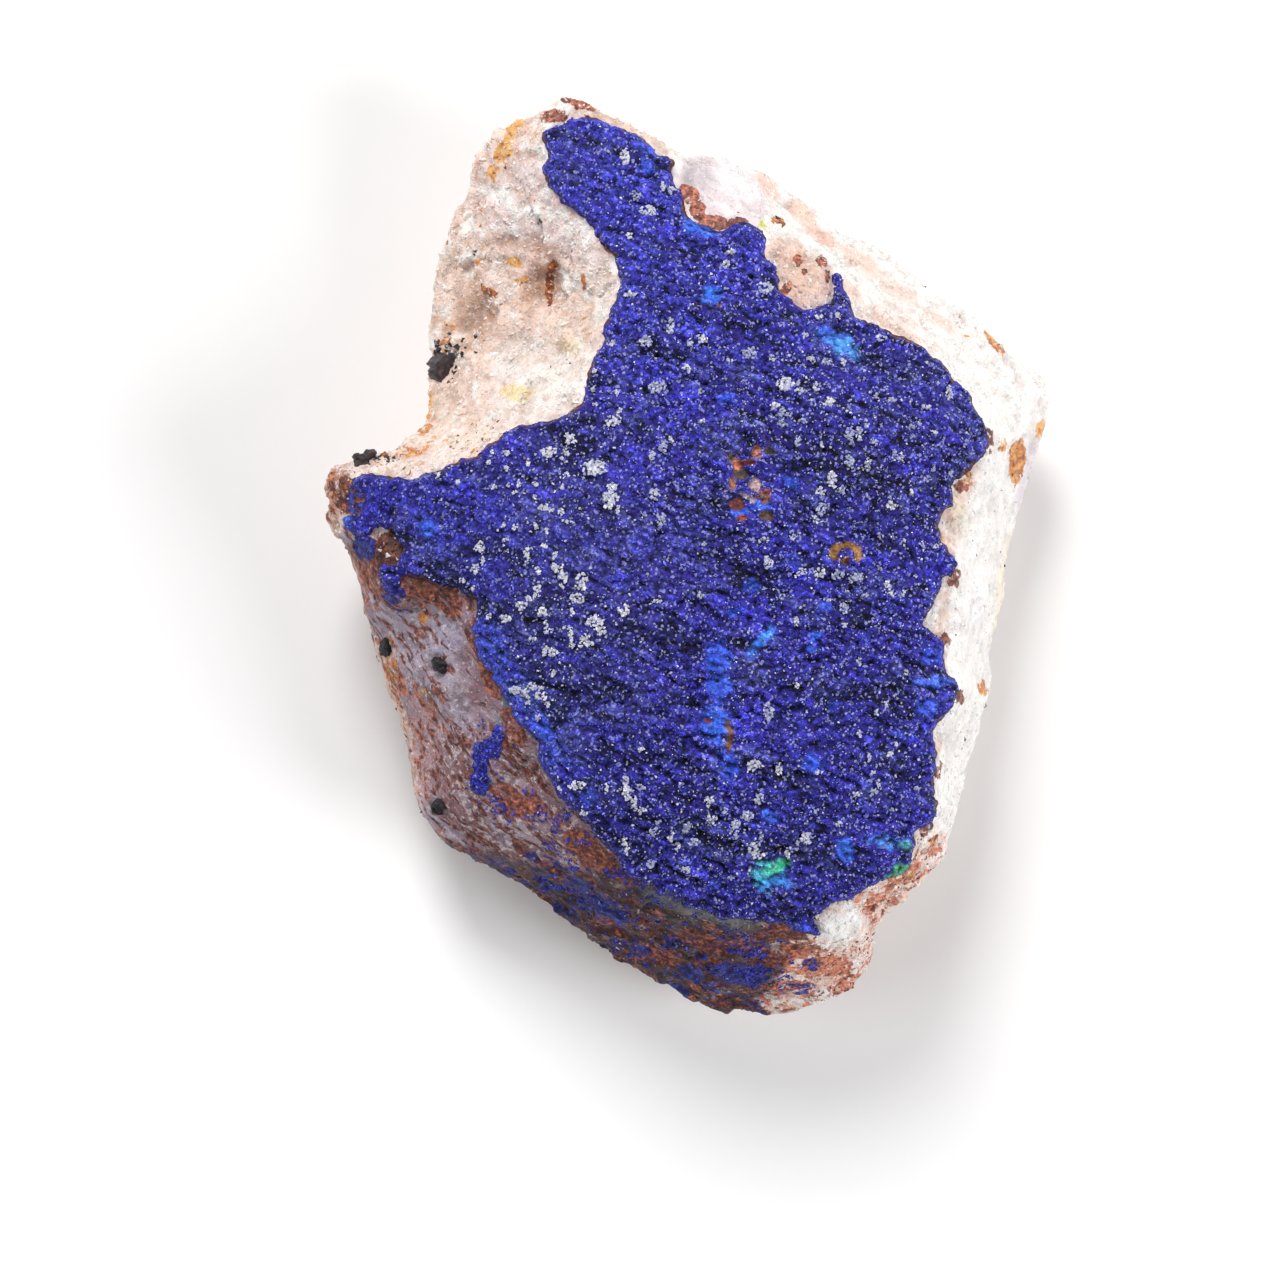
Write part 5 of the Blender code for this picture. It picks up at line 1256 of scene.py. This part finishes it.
gap = 0.258 * MM
xs = np.arange(fine_rim[:, 0].min(), fine_rim[:, 0].max(), gap)
ys = np.arange(fine_rim[:, 1].min(), fine_rim[:, 1].max(), gap * 0.866)
grid = np.stack(np.meshgrid(xs, ys), -1)
grid[1::2, :, 0] += gap / 2
grid = grid.reshape(-1, 2) + np.random.RandomState(7).uniform(-0.18, 0.18, (grid.size // 2, 2)) * gap
grid = grid[inside(grid, fine_rim)]
edge = ring_distance(grid, fine_rim, 9 * MM)
grid, edge = grid[edge > 0.2 * MM], edge[edge > 0.2 * MM]
n_ring = len(fine_rim)
spots, ct, orig = fill_ring(fine_rim, grid)
is_ring = (orig >= 0) & (orig < n_ring)
edge_of = np.zeros(len(spots))
edge_of[orig >= n_ring] = edge[orig[orig >= n_ring] - n_ring]
base_z = crust_at(spots)
e = 0.5 * MM
slope = np.stack(
    [
        -(crust_at(spots + (e, 0)) - crust_at(spots - (e, 0))) / (2 * e),
        -(crust_at(spots + (0, e)) - crust_at(spots - (0, e))) / (2 * e),
        np.ones(len(spots)),
    ],
    -1,
)
slope /= np.linalg.norm(slope, axis=1, keepdims=True)
base3 = np.c_[spots, base_z]


def crust_relief(p):
    """Ridges, nodules and pits of the crust, in metres along its normal."""
    # long low ridges run across, dropping a little to the right
    u = p[:, 0] * math.cos(0.30) - p[:, 1] * math.sin(0.30)
    v = p[:, 0] * math.sin(0.30) + p[:, 1] * math.cos(0.30)
    bent = np.stack([u * 0.36, v, p[:, 2] * 0.4], -1)
    bent = bent + 0.6 * MM * np.stack([grad(p, 3.4 * MM, 531 + i) for i in range(3)], -1)
    creased = 1 - np.abs(grad(bent, 2.4 * MM, 541)) * 1.9
    second = 1 - np.abs(grad(bent, 1.25 * MM, 543)) * 1.9
    ridges = 0.54 * MM * (0.45 - creased) + 0.28 * MM * (0.45 - second)
    warp = 0.22 * MM * np.stack([grad(p, 1.0 * MM, 551 + i) for i in range(3)], -1)
    along = np.stack([u * 0.58, v, p[:, 2] * 0.8], -1)
    f1, f2, _, r = cells(along + warp, 1.05 * MM, 561)
    nodules = 0.72 * MM * (np.sqrt(np.clip(1 - f1 * f1 * 1.1, 0, 1)) - 0.6) * (0.45 + r[:, 0])
    g1, g2, _, s = cells(along * (1.25, 1, 1) + warp * 0.5, 0.62 * MM, 567)
    small = 0.24 * MM * (np.clip(1 - g1 * g1 * 1.5, 0, 1) - 0.5) * (0.4 + s[:, 0] * 1.2)
    low = 0.40 * MM * fbm(p, 5.5 * MM, 571, 2)
    return ridges + nodules + small + low


# the crust's plateau is kept low enough for its relief to stay under the top of the box
ceiling = BOX_HI[2] - 1.25 * MM
base3[:, 2] = -0.5 * MM * np.logaddexp(-base3[:, 2] / (0.5 * MM), -ceiling / (0.5 * MM))
colour, crystal, window = crust_colour(base3)
relief = crust_relief(base3)
px_, py_ = drawing(base3)
# calmer, finer crust at the left, rougher in the middle, at the top and at the lower right
rough_zone = 0.75 + 0.45 * smooth(px_, 560, 700) + 0.15 * grad(base3, 12 * MM, 577)
relief = relief * rough_zone * (1 - 0.6 * window) - 0.55 * MM * window
taper = smooth(edge_of, 0, 1.1 * MM)
relief = relief * (0.4 + 0.6 * taper)
top3 = base3 + slope * relief[:, None]
rock_below = np.full(len(spots), np.nan)
near = edge_of < 2.2 * MM
rock_below[near] = heights(rock_tree, top3[near, :2])
bad = near & ~np.isfinite(rock_below)
rock_below[bad] = base_z[bad] - 1.2 * MM
lift = smooth(edge_of, 0.0, 0.75 * MM)
tz = top3[:, 2].copy()
tz[near] = (rock_below[near] - 0.30 * MM) * (1 - lift[near]) + np.maximum(tz[near], rock_below[near] + 0.22 * MM) * lift[near]
top3[:, 2] = tz
top3 = np.minimum(top3, BOX_HI)
# underside: the same ring, a coarse sheet sunk into the rock
coarse_step = 2.4 * MM
cx_ = np.arange(fine_rim[:, 0].min(), fine_rim[:, 0].max(), coarse_step)
cy_ = np.arange(fine_rim[:, 1].min(), fine_rim[:, 1].max(), coarse_step)
sparse = np.stack(np.meshgrid(cx_, cy_), -1).reshape(-1, 2)
sparse = sparse[inside(sparse, fine_rim)]
sparse = sparse[ring_distance(sparse, fine_rim, 5 * MM) > 0.9 * MM]
ring_ids = np.flatnonzero(is_ring)
ring_ids = ring_ids[np.argsort(orig[ring_ids])]
low_spots, lt, low_orig = fill_ring(spots[ring_ids], sparse)
low_is_ring = low_orig < len(ring_ids)
to_all = np.empty(len(low_spots), int)
to_all[low_is_ring] = ring_ids[low_orig[low_is_ring]]
to_all[~low_is_ring] = len(spots) + np.arange((~low_is_ring).sum())
low3 = np.c_[low_spots[~low_is_ring], crust_at(low_spots[~low_is_ring]) - 2.9 * MM]
crust_v = np.vstack([top3, low3])
crust_t = np.vstack([ct, to_all[lt][:, ::-1]])
# slivers at the rim that the two sheets share lie flat on each other, so neither is kept
_, back, count = np.unique(np.sort(crust_t, axis=1), axis=0, return_inverse=True, return_counts=True)
crust_t = crust_t[count[back.ravel()] == 1]
crust = build_tris("azurite_crust_body", crust_v, crust_t, [MATERIALS["azurite"]], "azurite_crust", True)
print("crust", len(crust_v), "vertices", len(crust_t), "triangles")
top_links = neighbours(ct, len(spots))
# painted shade and light on the crust: its colour is darkened in the crevices and lightened on the nodule tops
level = relief - relax(relief, top_links, 14)
shade = np.clip(level / (0.24 * MM), -1, 1) * (1 - 0.7 * window)
crust_tint_painted_shade = colour * np.where(shade < 0, 1 + 0.93 * shade, 1 + 0.75 * shade)[:, None]
fringe = (1 - smooth(edge_of, 0.1 * MM, 1.0 * MM)) * smooth(fbm(base3, 3 * MM, 581, 2), 0.0, 0.25)
browned = np.clip(1.15 * fringe, 0, 1.2)
full_tint = np.vstack([crust_tint_painted_shade, np.tile(lin((60, 50, 80)), (len(low3), 1))])
put_colour(crust, full_tint)
put_value(crust, np.r_[crystal, np.zeros(len(low3))], "crystal")
put_value(crust, np.r_[browned, np.zeros(len(low3))], "brown")


# ---------------------------------------------------------------- small crystals
def hull_shapes(kind, count, seed):
    """A few small closed crystal shapes of about unit size: vertices and triangles."""
    rng = np.random.RandomState(seed)
    out = []
    for _ in range(count):
        if kind == "blade":
            w, h, l = rng.uniform(0.35, 0.6), rng.uniform(0.28, 0.5), rng.uniform(0.75, 1.1)
            shear = rng.uniform(-0.25, 0.25)
            pts = [(sx * w, sy * h + shear * sx, sz * l * (1 - 0.25 * (sy > 0))) for sx in (-0.5, 0.5) for sy in (-0.5, 0.5) for sz in (-0.5, 0.5)]
            pts = np.array(pts) + rng.uniform(-0.05, 0.05, (8, 3))
        else:
            pts = rng.normal(size=(9, 3))
            pts /= np.linalg.norm(pts, axis=1, keepdims=True)
            pts *= rng.uniform(0.42, 0.55, (9, 1)) * rng.uniform(0.8, 1.15, (1, 3))
        bm = bmesh.new()
        vs = [bm.verts.new(p) for p in pts]
        got = bmesh.ops.convex_hull(bm, input=vs)
        drop = [g for g in got["geom_interior"] + got["geom_unused"] if isinstance(g, bmesh.types.BMVert)]
        bmesh.ops.delete(bm, geom=drop, context="VERTS")
        bmesh.ops.triangulate(bm, faces=bm.faces)
        bmesh.ops.recalc_face_normals(bm, faces=bm.faces)
        bm.verts.index_update()
        v = np.array([tuple(x.co) for x in bm.verts])
        t = np.array([[x.index for x in f.verts] for f in bm.faces])
        bm.free()
        out.append((v, t))
    return out


def turned(rng, n):
    """Random rotation matrices."""
    q = rng.normal(size=(n, 4))
    q /= np.linalg.norm(q, axis=1, keepdims=True)
    w, x, y, z = q.T
    return np.stack(
        [
            np.stack([1 - 2 * (y * y + z * z), 2 * (x * y - z * w), 2 * (x * z + y * w)], -1),
            np.stack([2 * (x * y + z * w), 1 - 2 * (x * x + z * z), 2 * (y * z - x * w)], -1),
            np.stack([2 * (x * z - y * w), 2 * (y * z + x * w), 1 - 2 * (x * x + y * y)], -1),
        ],
        1,
    )


def scatter(shapes, at, size, rng, colour):
    """All copies joined: vertices, triangles, colour per vertex."""
    which = rng.randint(0, len(shapes), len(at))
    spin = turned(rng, len(at))
    vs, ts, cs, start = [], [], [], 0
    for k, (v, t) in enumerate(shapes):
        pick = np.flatnonzero(which == k)
        if not len(pick):
            continue
        w = np.einsum("nij,vj->nvi", spin[pick], v) * size[pick][:, None, None] + at[pick][:, None, :]
        m = len(v)
        vs.append(w.reshape(-1, 3))
        ts.append((t[None] + (np.arange(len(pick)) * m)[:, None, None] + start).reshape(-1, 3))
        cs.append(np.repeat(colour[pick], m, axis=0))
        start += len(pick) * m
    return np.vstack(vs), np.vstack(ts), np.vstack(cs)


def sample(verts, tris, weight, count, rng):
    """Random points on a surface, with the weights of its vertices."""
    a, b, c = (verts[tris[:, i]] for i in range(3))
    normal = np.cross(b - a, c - a)
    area = np.linalg.norm(normal, axis=1)
    w = area * weight[tris].mean(1)
    pick = rng.choice(len(tris), count, p=w / w.sum())
    u, v = rng.uniform(size=(2, count))
    flip = u + v > 1
    u, v = np.where(flip, 1 - u, u), np.where(flip, 1 - v, v)
    p = a[pick] + (b - a)[pick] * u[:, None] + (c - a)[pick] * v[:, None]
    n = normal[pick] / np.maximum(area[pick], 1e-15)[:, None]
    return p, n, pick


rng = np.random.RandomState(20)
blades = hull_shapes("blade", 10, 3)
blocks = hull_shapes("block", 12, 4)
stand = crystal * (1 - 0.9 * np.clip(browned, 0, 1)) * smooth(edge_of, 0.1 * MM, 0.6 * MM)
stand = stand * (0.10 + 0.90 * smooth(level, -0.12 * MM, 0.18 * MM)) * (0.6 + 0.6 * smooth(fbm(base3, 4 * MM, 583, 2), -0.3, 0.3))
p, n, pick = sample(top3, ct, stand, 21500, rng)
size = rng.uniform(0.20, 0.46, len(p)) * MM * (0.8 + 0.5 * rng.uniform(size=len(p)) ** 4)
c = colour[ct[pick, 0]] * np.exp(rng.normal(-0.05, 0.6, len(p)))[:, None]
kind = rng.uniform(size=len(p))
# the pale crystals gather in some places: partly pale dust, partly painted sparkle in their colour
gx, gy = drawing(p)
pale_dust_and_sparkle = smooth(fbm(p, 5 * MM, 585, 2), 0.0, 0.35)
for cx, cy, rx_, ry_ in [(900, 430, 80, 70), (690, 825, 100, 60), (860, 600, 90, 60), (640, 380, 70, 60), (790, 400, 60, 50), (560, 480, 80, 30)]:
    pale_dust_and_sparkle = np.maximum(pale_dust_and_sparkle, 0.8 * ellipse(gx, gy, cx, cy, rx_, ry_, 0, 0.6))
violet, bright, pale = kind < 0.24, (kind > 0.24) & (kind < 0.42), kind > 1 - (0.045 + 0.13 * pale_dust_and_sparkle)
c[violet] = lin((72, 58, 204)) * rng.uniform(0.5, 1.2, (violet.sum(), 1))
c[bright] = lin((104, 116, 232)) * rng.uniform(0.5, 1.4, (bright.sum(), 1))
c[pale] = lin((214, 216, 246)) * rng.uniform(0.5, 1.35, (pale.sum(), 1))
size = np.where(pale, size * 0.66, size * 0.95)
keep = (p + n * size[:, None] < BOX_HI).all(1)
p, n, size, c = p[keep], n[keep], size[keep], c[keep]
for k in range(2):
    m = slice(k, None, 2)
    v, t, cc = scatter(blades, p[m] + n[m] * (0.06 * size[m])[:, None], size[m], rng, c[m])
    o = build_tris(f"azurite_crystals_{k + 1}", np.minimum(v, BOX_HI), t, [MATERIALS["crystal"]])
    put_colour(o, cc)
    print(o.name, len(o.data.polygons))

# ---------------------------------------------------------------- quartz clusters on the crust
crust_tree2 = tree_of(top3, ct)


def drop(xy):
    out, nor = [], []
    for x, y in xy.tolist():
        hit = crust_tree2.ray_cast(Vector((x, y, 0.1)), Vector((0, 0, -1)))
        if hit[0] is None:
            out.append((np.nan,) * 3)
            nor.append((0, 0, 1))
        else:
            out.append(tuple(hit[0]))
            nor.append(tuple(hit[1]))
    return np.array(out), np.array(nor)


at, size, shade, glow = [], [], [], []
rng = np.random.RandomState(41)
for cx, cy, s in CLUSTERS:
    q = on_top([cx], [cy], crust_at)[0]
    n_bits = int(6 + 10 * s * s)
    clear = 1.0 if cx < 630 else (0.66 + 0.34 * (0.5 + 0.5 * math.sin(cx * 2.3 + cy * 1.7)))
    for _ in range(n_bits):
        r, a = s * 0.5 * MM * math.sqrt(rng.uniform()), rng.uniform(0, 6.283)
        stretch = 1.0 + 0.35 * math.sin(cx * 0.7)
        at.append((q[0] + r * math.cos(a) * stretch, q[1] + r * math.sin(a) / stretch))
        size.append(rng.uniform(0.23, 0.52) * (0.72 + 0.28 * s))
        shade.append(rng.uniform())
        glow.append(clear)
for _ in range(1150):  # single small ones between them
    k = rng.randint(len(CLUSTERS))
    cx, cy, s = CLUSTERS[k]
    q = on_top([cx + rng.normal(0, 26)], [cy + rng.normal(0, 26)], crust_at)[0]
    at.append((q[0], q[1]))
    size.append(rng.uniform(0.20, 0.42))
    shade.append(rng.uniform())
    glow.append(rng.uniform(0.4, 1.0))
at, size, shade, glow = np.array(at), np.array(size) * MM, np.array(shade), np.array(glow)
ok = inside(at, fine_rim)
at, size, shade, glow = at[ok], size[ok], shade[ok], glow[ok]
q, qn = drop(at)
ok = np.isfinite(q[:, 0]) & (ring_distance(at, fine_rim, 3 * MM) > 0.5 * MM)
q, qn, size, shade, glow = q[ok], qn[ok], size[ok], shade[ok], glow[ok]
pale = lin((206, 208, 236))[None] * (1 - shade[:, None]) + lin((250, 250, 255))[None] * shade[:, None]
pale = pale * glow[:, None] ** np.array([1.35, 1.22, 0.6])
v, t, cc = scatter(blocks, q + qn * (0.22 * size)[:, None] + (0, 0, 0.08 * MM), size * 1.15, rng, pale)
v = np.minimum(v, BOX_HI)
o = build_tris("quartz_clusters", v, t, [MATERIALS["quartz"]])
put_colour(o, cc)
print("quartz clusters", len(t))

# ---------------------------------------------------------------- sugary quartz grains on the bare rock
rng = np.random.RandomState(61)
rxy = drawing(rock_v)
topside = rock_n[:, 2] > -0.1
bare = (1 - covered) * (1 - 0.95 * poly_mask(*rxy, LILAC, 6) * topside) * (1 - 0.8 * poly_mask(*rxy, BOTTOM, 6) * topside)
bare = bare * smooth(rock_v[:, 2], 1.0 * MM, 2.5 * MM)
under_now = inside(rock_v[:, :2], fine_rim) & (rock_n[:, 2] > 0.2)
bare = bare * np.where(under_now, 0, 1) * (0.3 + 0.7 * smooth(fbm(rock_v, 6 * MM, 611, 2), -0.3, 0.3))
bare = bare * np.where(rock_n[:, 2] > 0.25, 1.5, 0.7) * (1 - 0.55 * right_m) * (1 - 0.8 * calm * topside)
p, n, pick = sample(rock_v, rock_t, bare, 12500, rng)
size = rng.uniform(0.28, 0.8, len(p)) * MM * np.where(n[:, 2] > 0.2, 1, 0.8)
chunky = (rng.uniform(size=len(p)) < 0.22) & (n[:, 2] > -0.3)
size[chunky] = rng.uniform(0.9, 1.7, chunky.sum()) * MM
c, d = rock_colour(p, n)
c = c * np.exp(rng.normal(0.06, 0.15, len(p)) * (0.35 + 0.75 * np.clip(d["mottle"], 0, 1)))[:, None]
for key, lo_, hi_ in (("rust", (120, 52, 20), (230, 156, 72)), ("brown", (66, 34, 28), (150, 88, 70)), ("blue", (24, 24, 96), (60, 76, 190))):
    on = rng.uniform(size=len(p)) < np.clip(d[key], 0, 1) ** 2 * 0.75
    f = rng.uniform(size=(len(p), 1)) * np.clip(1.25 - d["tone"], 0.05, 1)[:, None]
    f = np.minimum(f + 0.45 * np.clip(1 - 2 * d["tone"], 0, 1)[:, None], 1)
    c = np.where(on[:, None], lin(lo_) * (1 - f) + lin(hi_) * f, c)
gx, gy = drawing(p)
tinged = np.maximum(poly_mask(gx, gy, LILAC, 10), poly_mask(gx, gy, BOTTOM, 10)) * (n[:, 2] > -0.15)
upper_left = (gx < 620) & (gy < 440) & (n[:, 2] > -0.1)
white = rng.uniform(size=len(p)) < 0.13 * (1 - tinged) + 0.02 + upper_left * np.where(chunky, 0.30, 0.10)
c[white] = c[white] * 0.3 + lin((252, 249, 247)) * 0.7
inbox = ((p + n * size[:, None] < BOX_HI) & (p + n * size[:, None] > BOX_LO)).all(1)
v, t, cc = scatter(blocks, (p - n * (np.where(chunky, 0.30, 0.14) * size)[:, None])[inbox], size[inbox], rng, np.minimum(c[inbox], 0.93))
v = np.clip(v, BOX_LO, BOX_HI)
o = build_tris("quartz_grains", v, t, [MATERIALS["grain"]])
put_colour(o, cc)
print("quartz grains", len(t))

# black specks set in the rock
rng = np.random.RandomState(67)
at, size = [], []
for cx, cy, s in DOTS:
    q = on_top([cx], [cy])[0]
    for _ in range(3 if s > 0.6 else 1):
        at.append(q[:2] + rng.normal(0, 0.20 * s, 2) * MM * (s > 0.6))
        size.append(s * rng.uniform(0.75, 1.1))
for _ in range(46):
    f = rng.uniform()
    q = on_top([342 + 58 * f + rng.normal(0, 2)], [454 + 6 * f + rng.normal(0, 2.2)])[0]
    at.append(q[:2])
    size.append(rng.uniform(0.35, 0.95))
for _ in range(34):
    q = on_top([445 + rng.normal(0, 9)], [364 + rng.normal(0, 11)])[0]
    at.append(q[:2])
    size.append(rng.uniform(0.5, 1.5))
at, size = np.array(at), np.array(size) * MM
z = heights(rock_tree, at)
ok = np.isfinite(z)
spot = np.c_[at, z][ok] - (0, 0, 0.12 * MM)
p, n, pick = sample(rock_v, rock_t, (rock_n[:, 2] < 0.2) * (rock_v[:, 2] > 1 * MM) * smooth(fbm(rock_v, 8 * MM, 347, 2), 0, 0.3), 220, rng)
size_all = np.r_[size[ok], rng.uniform(0.35, 1.2, len(p)) * MM]
spot = np.vstack([spot, p - n * (0.2 * size_all[ok.sum() :])[:, None]])
c = np.tile(lin((46, 40, 44)), (len(spot), 1)) * rng.uniform(0.6, 1.8, (len(spot), 1))
v, t, cc = scatter(blocks, spot, size_all, rng, c)
o = build_tris("dark_specks", np.clip(v, BOX_LO, BOX_HI), t, [MATERIALS["grain"]])
put_colour(o, cc)

# ---------------------------------------------------------------- streak of azurite on the left break
streak = dense(np.array(STREAK_RIM, float), 1.5)
s3 = on_top(streak[:, 0], streak[:, 1])
s_ring = ragged(s3[:, :2], [(0.42, 1.9), (0.40, 0.9), (0.14, 0.5)], 0.2 * MM)
xs = np.arange(s_ring[:, 0].min(), s_ring[:, 0].max(), 0.22 * MM)
ys = np.arange(s_ring[:, 1].min(), s_ring[:, 1].max(), 0.22 * MM)
g = np.stack(np.meshgrid(xs, ys), -1).reshape(-1, 2)
g = g + np.random.RandomState(5).uniform(-0.05, 0.05, g.shape) * MM
g = g[inside(g, s_ring)]
d = ring_distance(g, s_ring, 4 * MM)
g, d = g[d > 0.12 * MM], d[d > 0.12 * MM]
sp, st, o_ = fill_ring(s_ring, g)
dd = np.zeros(len(sp))
dd[o_ >= len(s_ring)] = d[o_[o_ >= len(s_ring)] - len(s_ring)]
z = heights(rock_tree, sp)
z = np.where(np.isfinite(z), z, both_at(sp))
b3 = np.c_[sp, z]
w = smooth(dd, 0, 0.5 * MM)
f1, _, _, r = cells(b3, 0.8 * MM, 711)
up3 = b3 + np.c_[np.zeros((len(sp), 2)), -0.25 * MM * (1 - w) + w * (0.14 + 0.34 * (1 - f1) + 0.18 * r[:, 0]) * MM]
down3 = b3 - (0, 0, 0.9 * MM)
inner = np.flatnonzero(dd > 0)
remap = np.arange(len(sp))
remap[inner] = len(sp) + np.arange(len(inner))
sv = np.vstack([up3, down3[inner]])
stt = np.vstack([st, remap[st][:, ::-1]])
streak_obj = build_tris("azurite_streak_body", sv, stt, [MATERIALS["azurite"]], "azurite_streak", True)
col = blend(np.tile(lin((48, 52, 160)), (len(sv), 1)), (34, 36, 110), smooth(fbm(sv, 1.2 * MM, 721, 2), -0.1, 0.4) * 0.8)
put_colour(streak_obj, col)
put_value(streak_obj, np.ones(len(sv)), "crystal")
put_value(streak_obj, np.zeros(len(sv)), "brown")
rng = np.random.RandomState(77)
p, n, pick = sample(up3, st, (dd > 0.2 * MM).astype(float), 260, rng)
size = rng.uniform(0.22, 0.5, len(p)) * MM
c = col[st[pick, 0]] * np.exp(rng.normal(0.1, 0.4, len(p)))[:, None]
# blue flecks along the lower left break and over the bottom one
fleck = poly_mask(*drawing(rock_v), [(470, 780), (560, 800), (640, 880), (720, 925), (800, 945), (780, 1010), (640, 960), (520, 880)], 10)
fleck = fleck * smooth(fbm(rock_v, 2.6 * MM, 731, 3), 0.12, 0.3) * (rock_n[:, 2] > 0.1) * (1 - covered)
around = ellipse(*drawing(rock_v), 488, 762, 22, 50, 8, 0.5) * (rock_n[:, 2] > 0.1) * smooth(fbm(rock_v, 1.6 * MM, 733, 2), 0.0, 0.3)
p2, n2, pick2 = sample(rock_v, rock_t, fleck + 0.35 * around + 1e-9, 1250, rng)
size2 = rng.uniform(0.22, 0.55, len(p2)) * MM
c2 = lin((50, 54, 160))[None] * np.exp(rng.normal(0, 0.4, len(p2)))[:, None]
v, t, cc = scatter(blades, np.vstack([p, p2]), np.r_[size, size2], rng, np.vstack([c, c2]))
v = np.clip(v, BOX_LO, BOX_HI)
o = build_tris("azurite_flecks", v, t, [MATERIALS["crystal"]])
put_colour(o, cc)


# ---------------------------------------------------------------- dark grains
def blocky(node, seed, count):
    """Several blunt blocks, grown into one another, within the reach of the CAD grain."""
    v, f = cad[node]
    lo_, hi_ = v.min(0), v.max(0)
    mid, half = (lo_ + hi_) / 2, (hi_ - lo_) / 2
    rng = np.random.RandomState(seed)
    core = mid + (v - mid) * (0.80, 0.80, 0.86)
    parts = [(core, f)]
    spin = turned(rng, 1)[0]
    for k in range(count):
        at = mid + half * np.r_[rng.uniform(-0.66, 0.66, 2), rng.uniform(-0.1, 0.5)]
        size = half.min() * rng.uniform(0.38, 0.62, 3) * (1.25, 0.9, 1.0)
        tilt = turned(rng, 1)[0] * 0.16 + spin
        tilt = np.linalg.qr(tilt)[0]
        box = np.array([(x, y, z) for x in (-1, 1) for y in (-1, 1) for z in (-1, 1)]) * size
        bm = bmesh.new()
        for q in box @ tilt.T + at:
            bm.verts.new(q)
        bmesh.ops.convex_hull(bm, input=bm.verts)
        bmesh.ops.triangulate(bm, faces=bm.faces)
        bmesh.ops.recalc_face_normals(bm, faces=bm.faces)
        bm.verts.index_update()
        bv = np.array([tuple(x.co) for x in bm.verts])
        bf = np.array([[x.index for x in face.verts] for face in bm.faces])
        bm.free()
        parts.append((bv, bf))
    return parts


def grain_piece(node, material, seed, blocks_in=0):
    v, f = cad[node]
    mid = v.mean(0)
    r = np.abs(v - mid).max()
    vv, tt = remesh(blocky(node, seed, blocks_in) if blocks_in else [(v, f)], r * (0.055 if blocks_in else 0.085), node + "_voxels")
    lk = neighbours(tt, len(vv))
    nn = relax(normals_of(vv, tt), lk, 2)
    nn /= np.linalg.norm(nn, axis=1, keepdims=True)
    if blocks_in:
        amount = 0.03 * r * breaks(vv, r * 0.4, seed, 2.0, 1.0)
    else:
        amount = 0.17 * r * breaks(vv, r * 0.75, seed, 2.0, 1.0) + 0.07 * r * breaks(vv, r * 0.33, seed + 3)
    vv = vv + nn * amount[:, None]
    vv = relax(vv, lk, 1, 0.3)
    vv = np.clip(vv, BOX_LO, BOX_HI)
    o = build_tris(node + "_body", vv, tt, [material], node, not blocks_in)
    return o


for i, node in enumerate(sorted(GRAINS)):
    if node.startswith("black"):
        grain_piece(node, MATERIALS["black"], 801 + 10 * i)
    else:
        grain_piece(node, MATERIALS["dark"], 801 + 10 * i, 7 if "edge" in node else 9)

# ---------------------------------------------------------------- the CAD nodes aren't shown
for name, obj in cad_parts.items():
    obj.hide_render = True
    obj.hide_viewport = True

# ---------------------------------------------------------------- floor, light, camera
bpy.ops.mesh.primitive_plane_add(size=6, location=(0, 0, -0.00002))
floor = bpy.context.object
floor.name = "floor"
floor.data.materials.append(floor_material())

world = bpy.data.worlds.new("studio")
bpy.context.scene.world = world
world.use_nodes = True
world.node_tree.nodes["Background"].inputs[0].default_value = (0.96, 0.97, 1.0, 1)
world.node_tree.nodes["Background"].inputs[1].default_value = 0.19


def area_light(name, place_at, target, size, power, colour=(1, 1, 1)):
    data = bpy.data.lights.new(name, "AREA")
    data.shape = "DISK"
    data.size = size
    data.energy = power
    data.color = colour
    obj = bpy.data.objects.new(name, data)
    bpy.context.scene.collection.objects.link(obj)
    obj.location = place_at
    obj.rotation_mode = "QUATERNION"
    obj.rotation_quaternion = (Vector(target) - Vector(place_at)).to_track_quat("-Z", "Y")
    return obj


area_light("key", (-0.14, 0.62, 0.64), (0, 0, 0.02), 0.34, 6.2, (1.0, 0.985, 0.965))
area_light("right_fill", (0.74, -0.26, 0.56), (0, 0, 0.02), 0.50, 6.1, (1.0, 0.99, 0.98))
area_light("left_fill", (-0.72, -0.10, 0.60), (0, 0, 0.02), 0.60, 2.1, (0.98, 0.99, 1.0))

camera = bpy.data.cameras.new("camera")
camera.sensor_width = 36.0
camera.lens = 36.0 * VIEW / (1280 * UNIT)
camera.clip_start, camera.clip_end = 0.05, 20
cam = bpy.data.objects.new("camera", camera)
bpy.context.scene.collection.objects.link(cam)
cam.location = ((AXIS[0] - CENTRE[0]) * UNIT, (CENTRE[1] - AXIS[1]) * UNIT, Z_MID + VIEW)
cam.rotation_euler = (0, 0, 0)
bpy.context.scene.camera = cam
bpy.context.scene.view_settings.view_transform = "Standard"
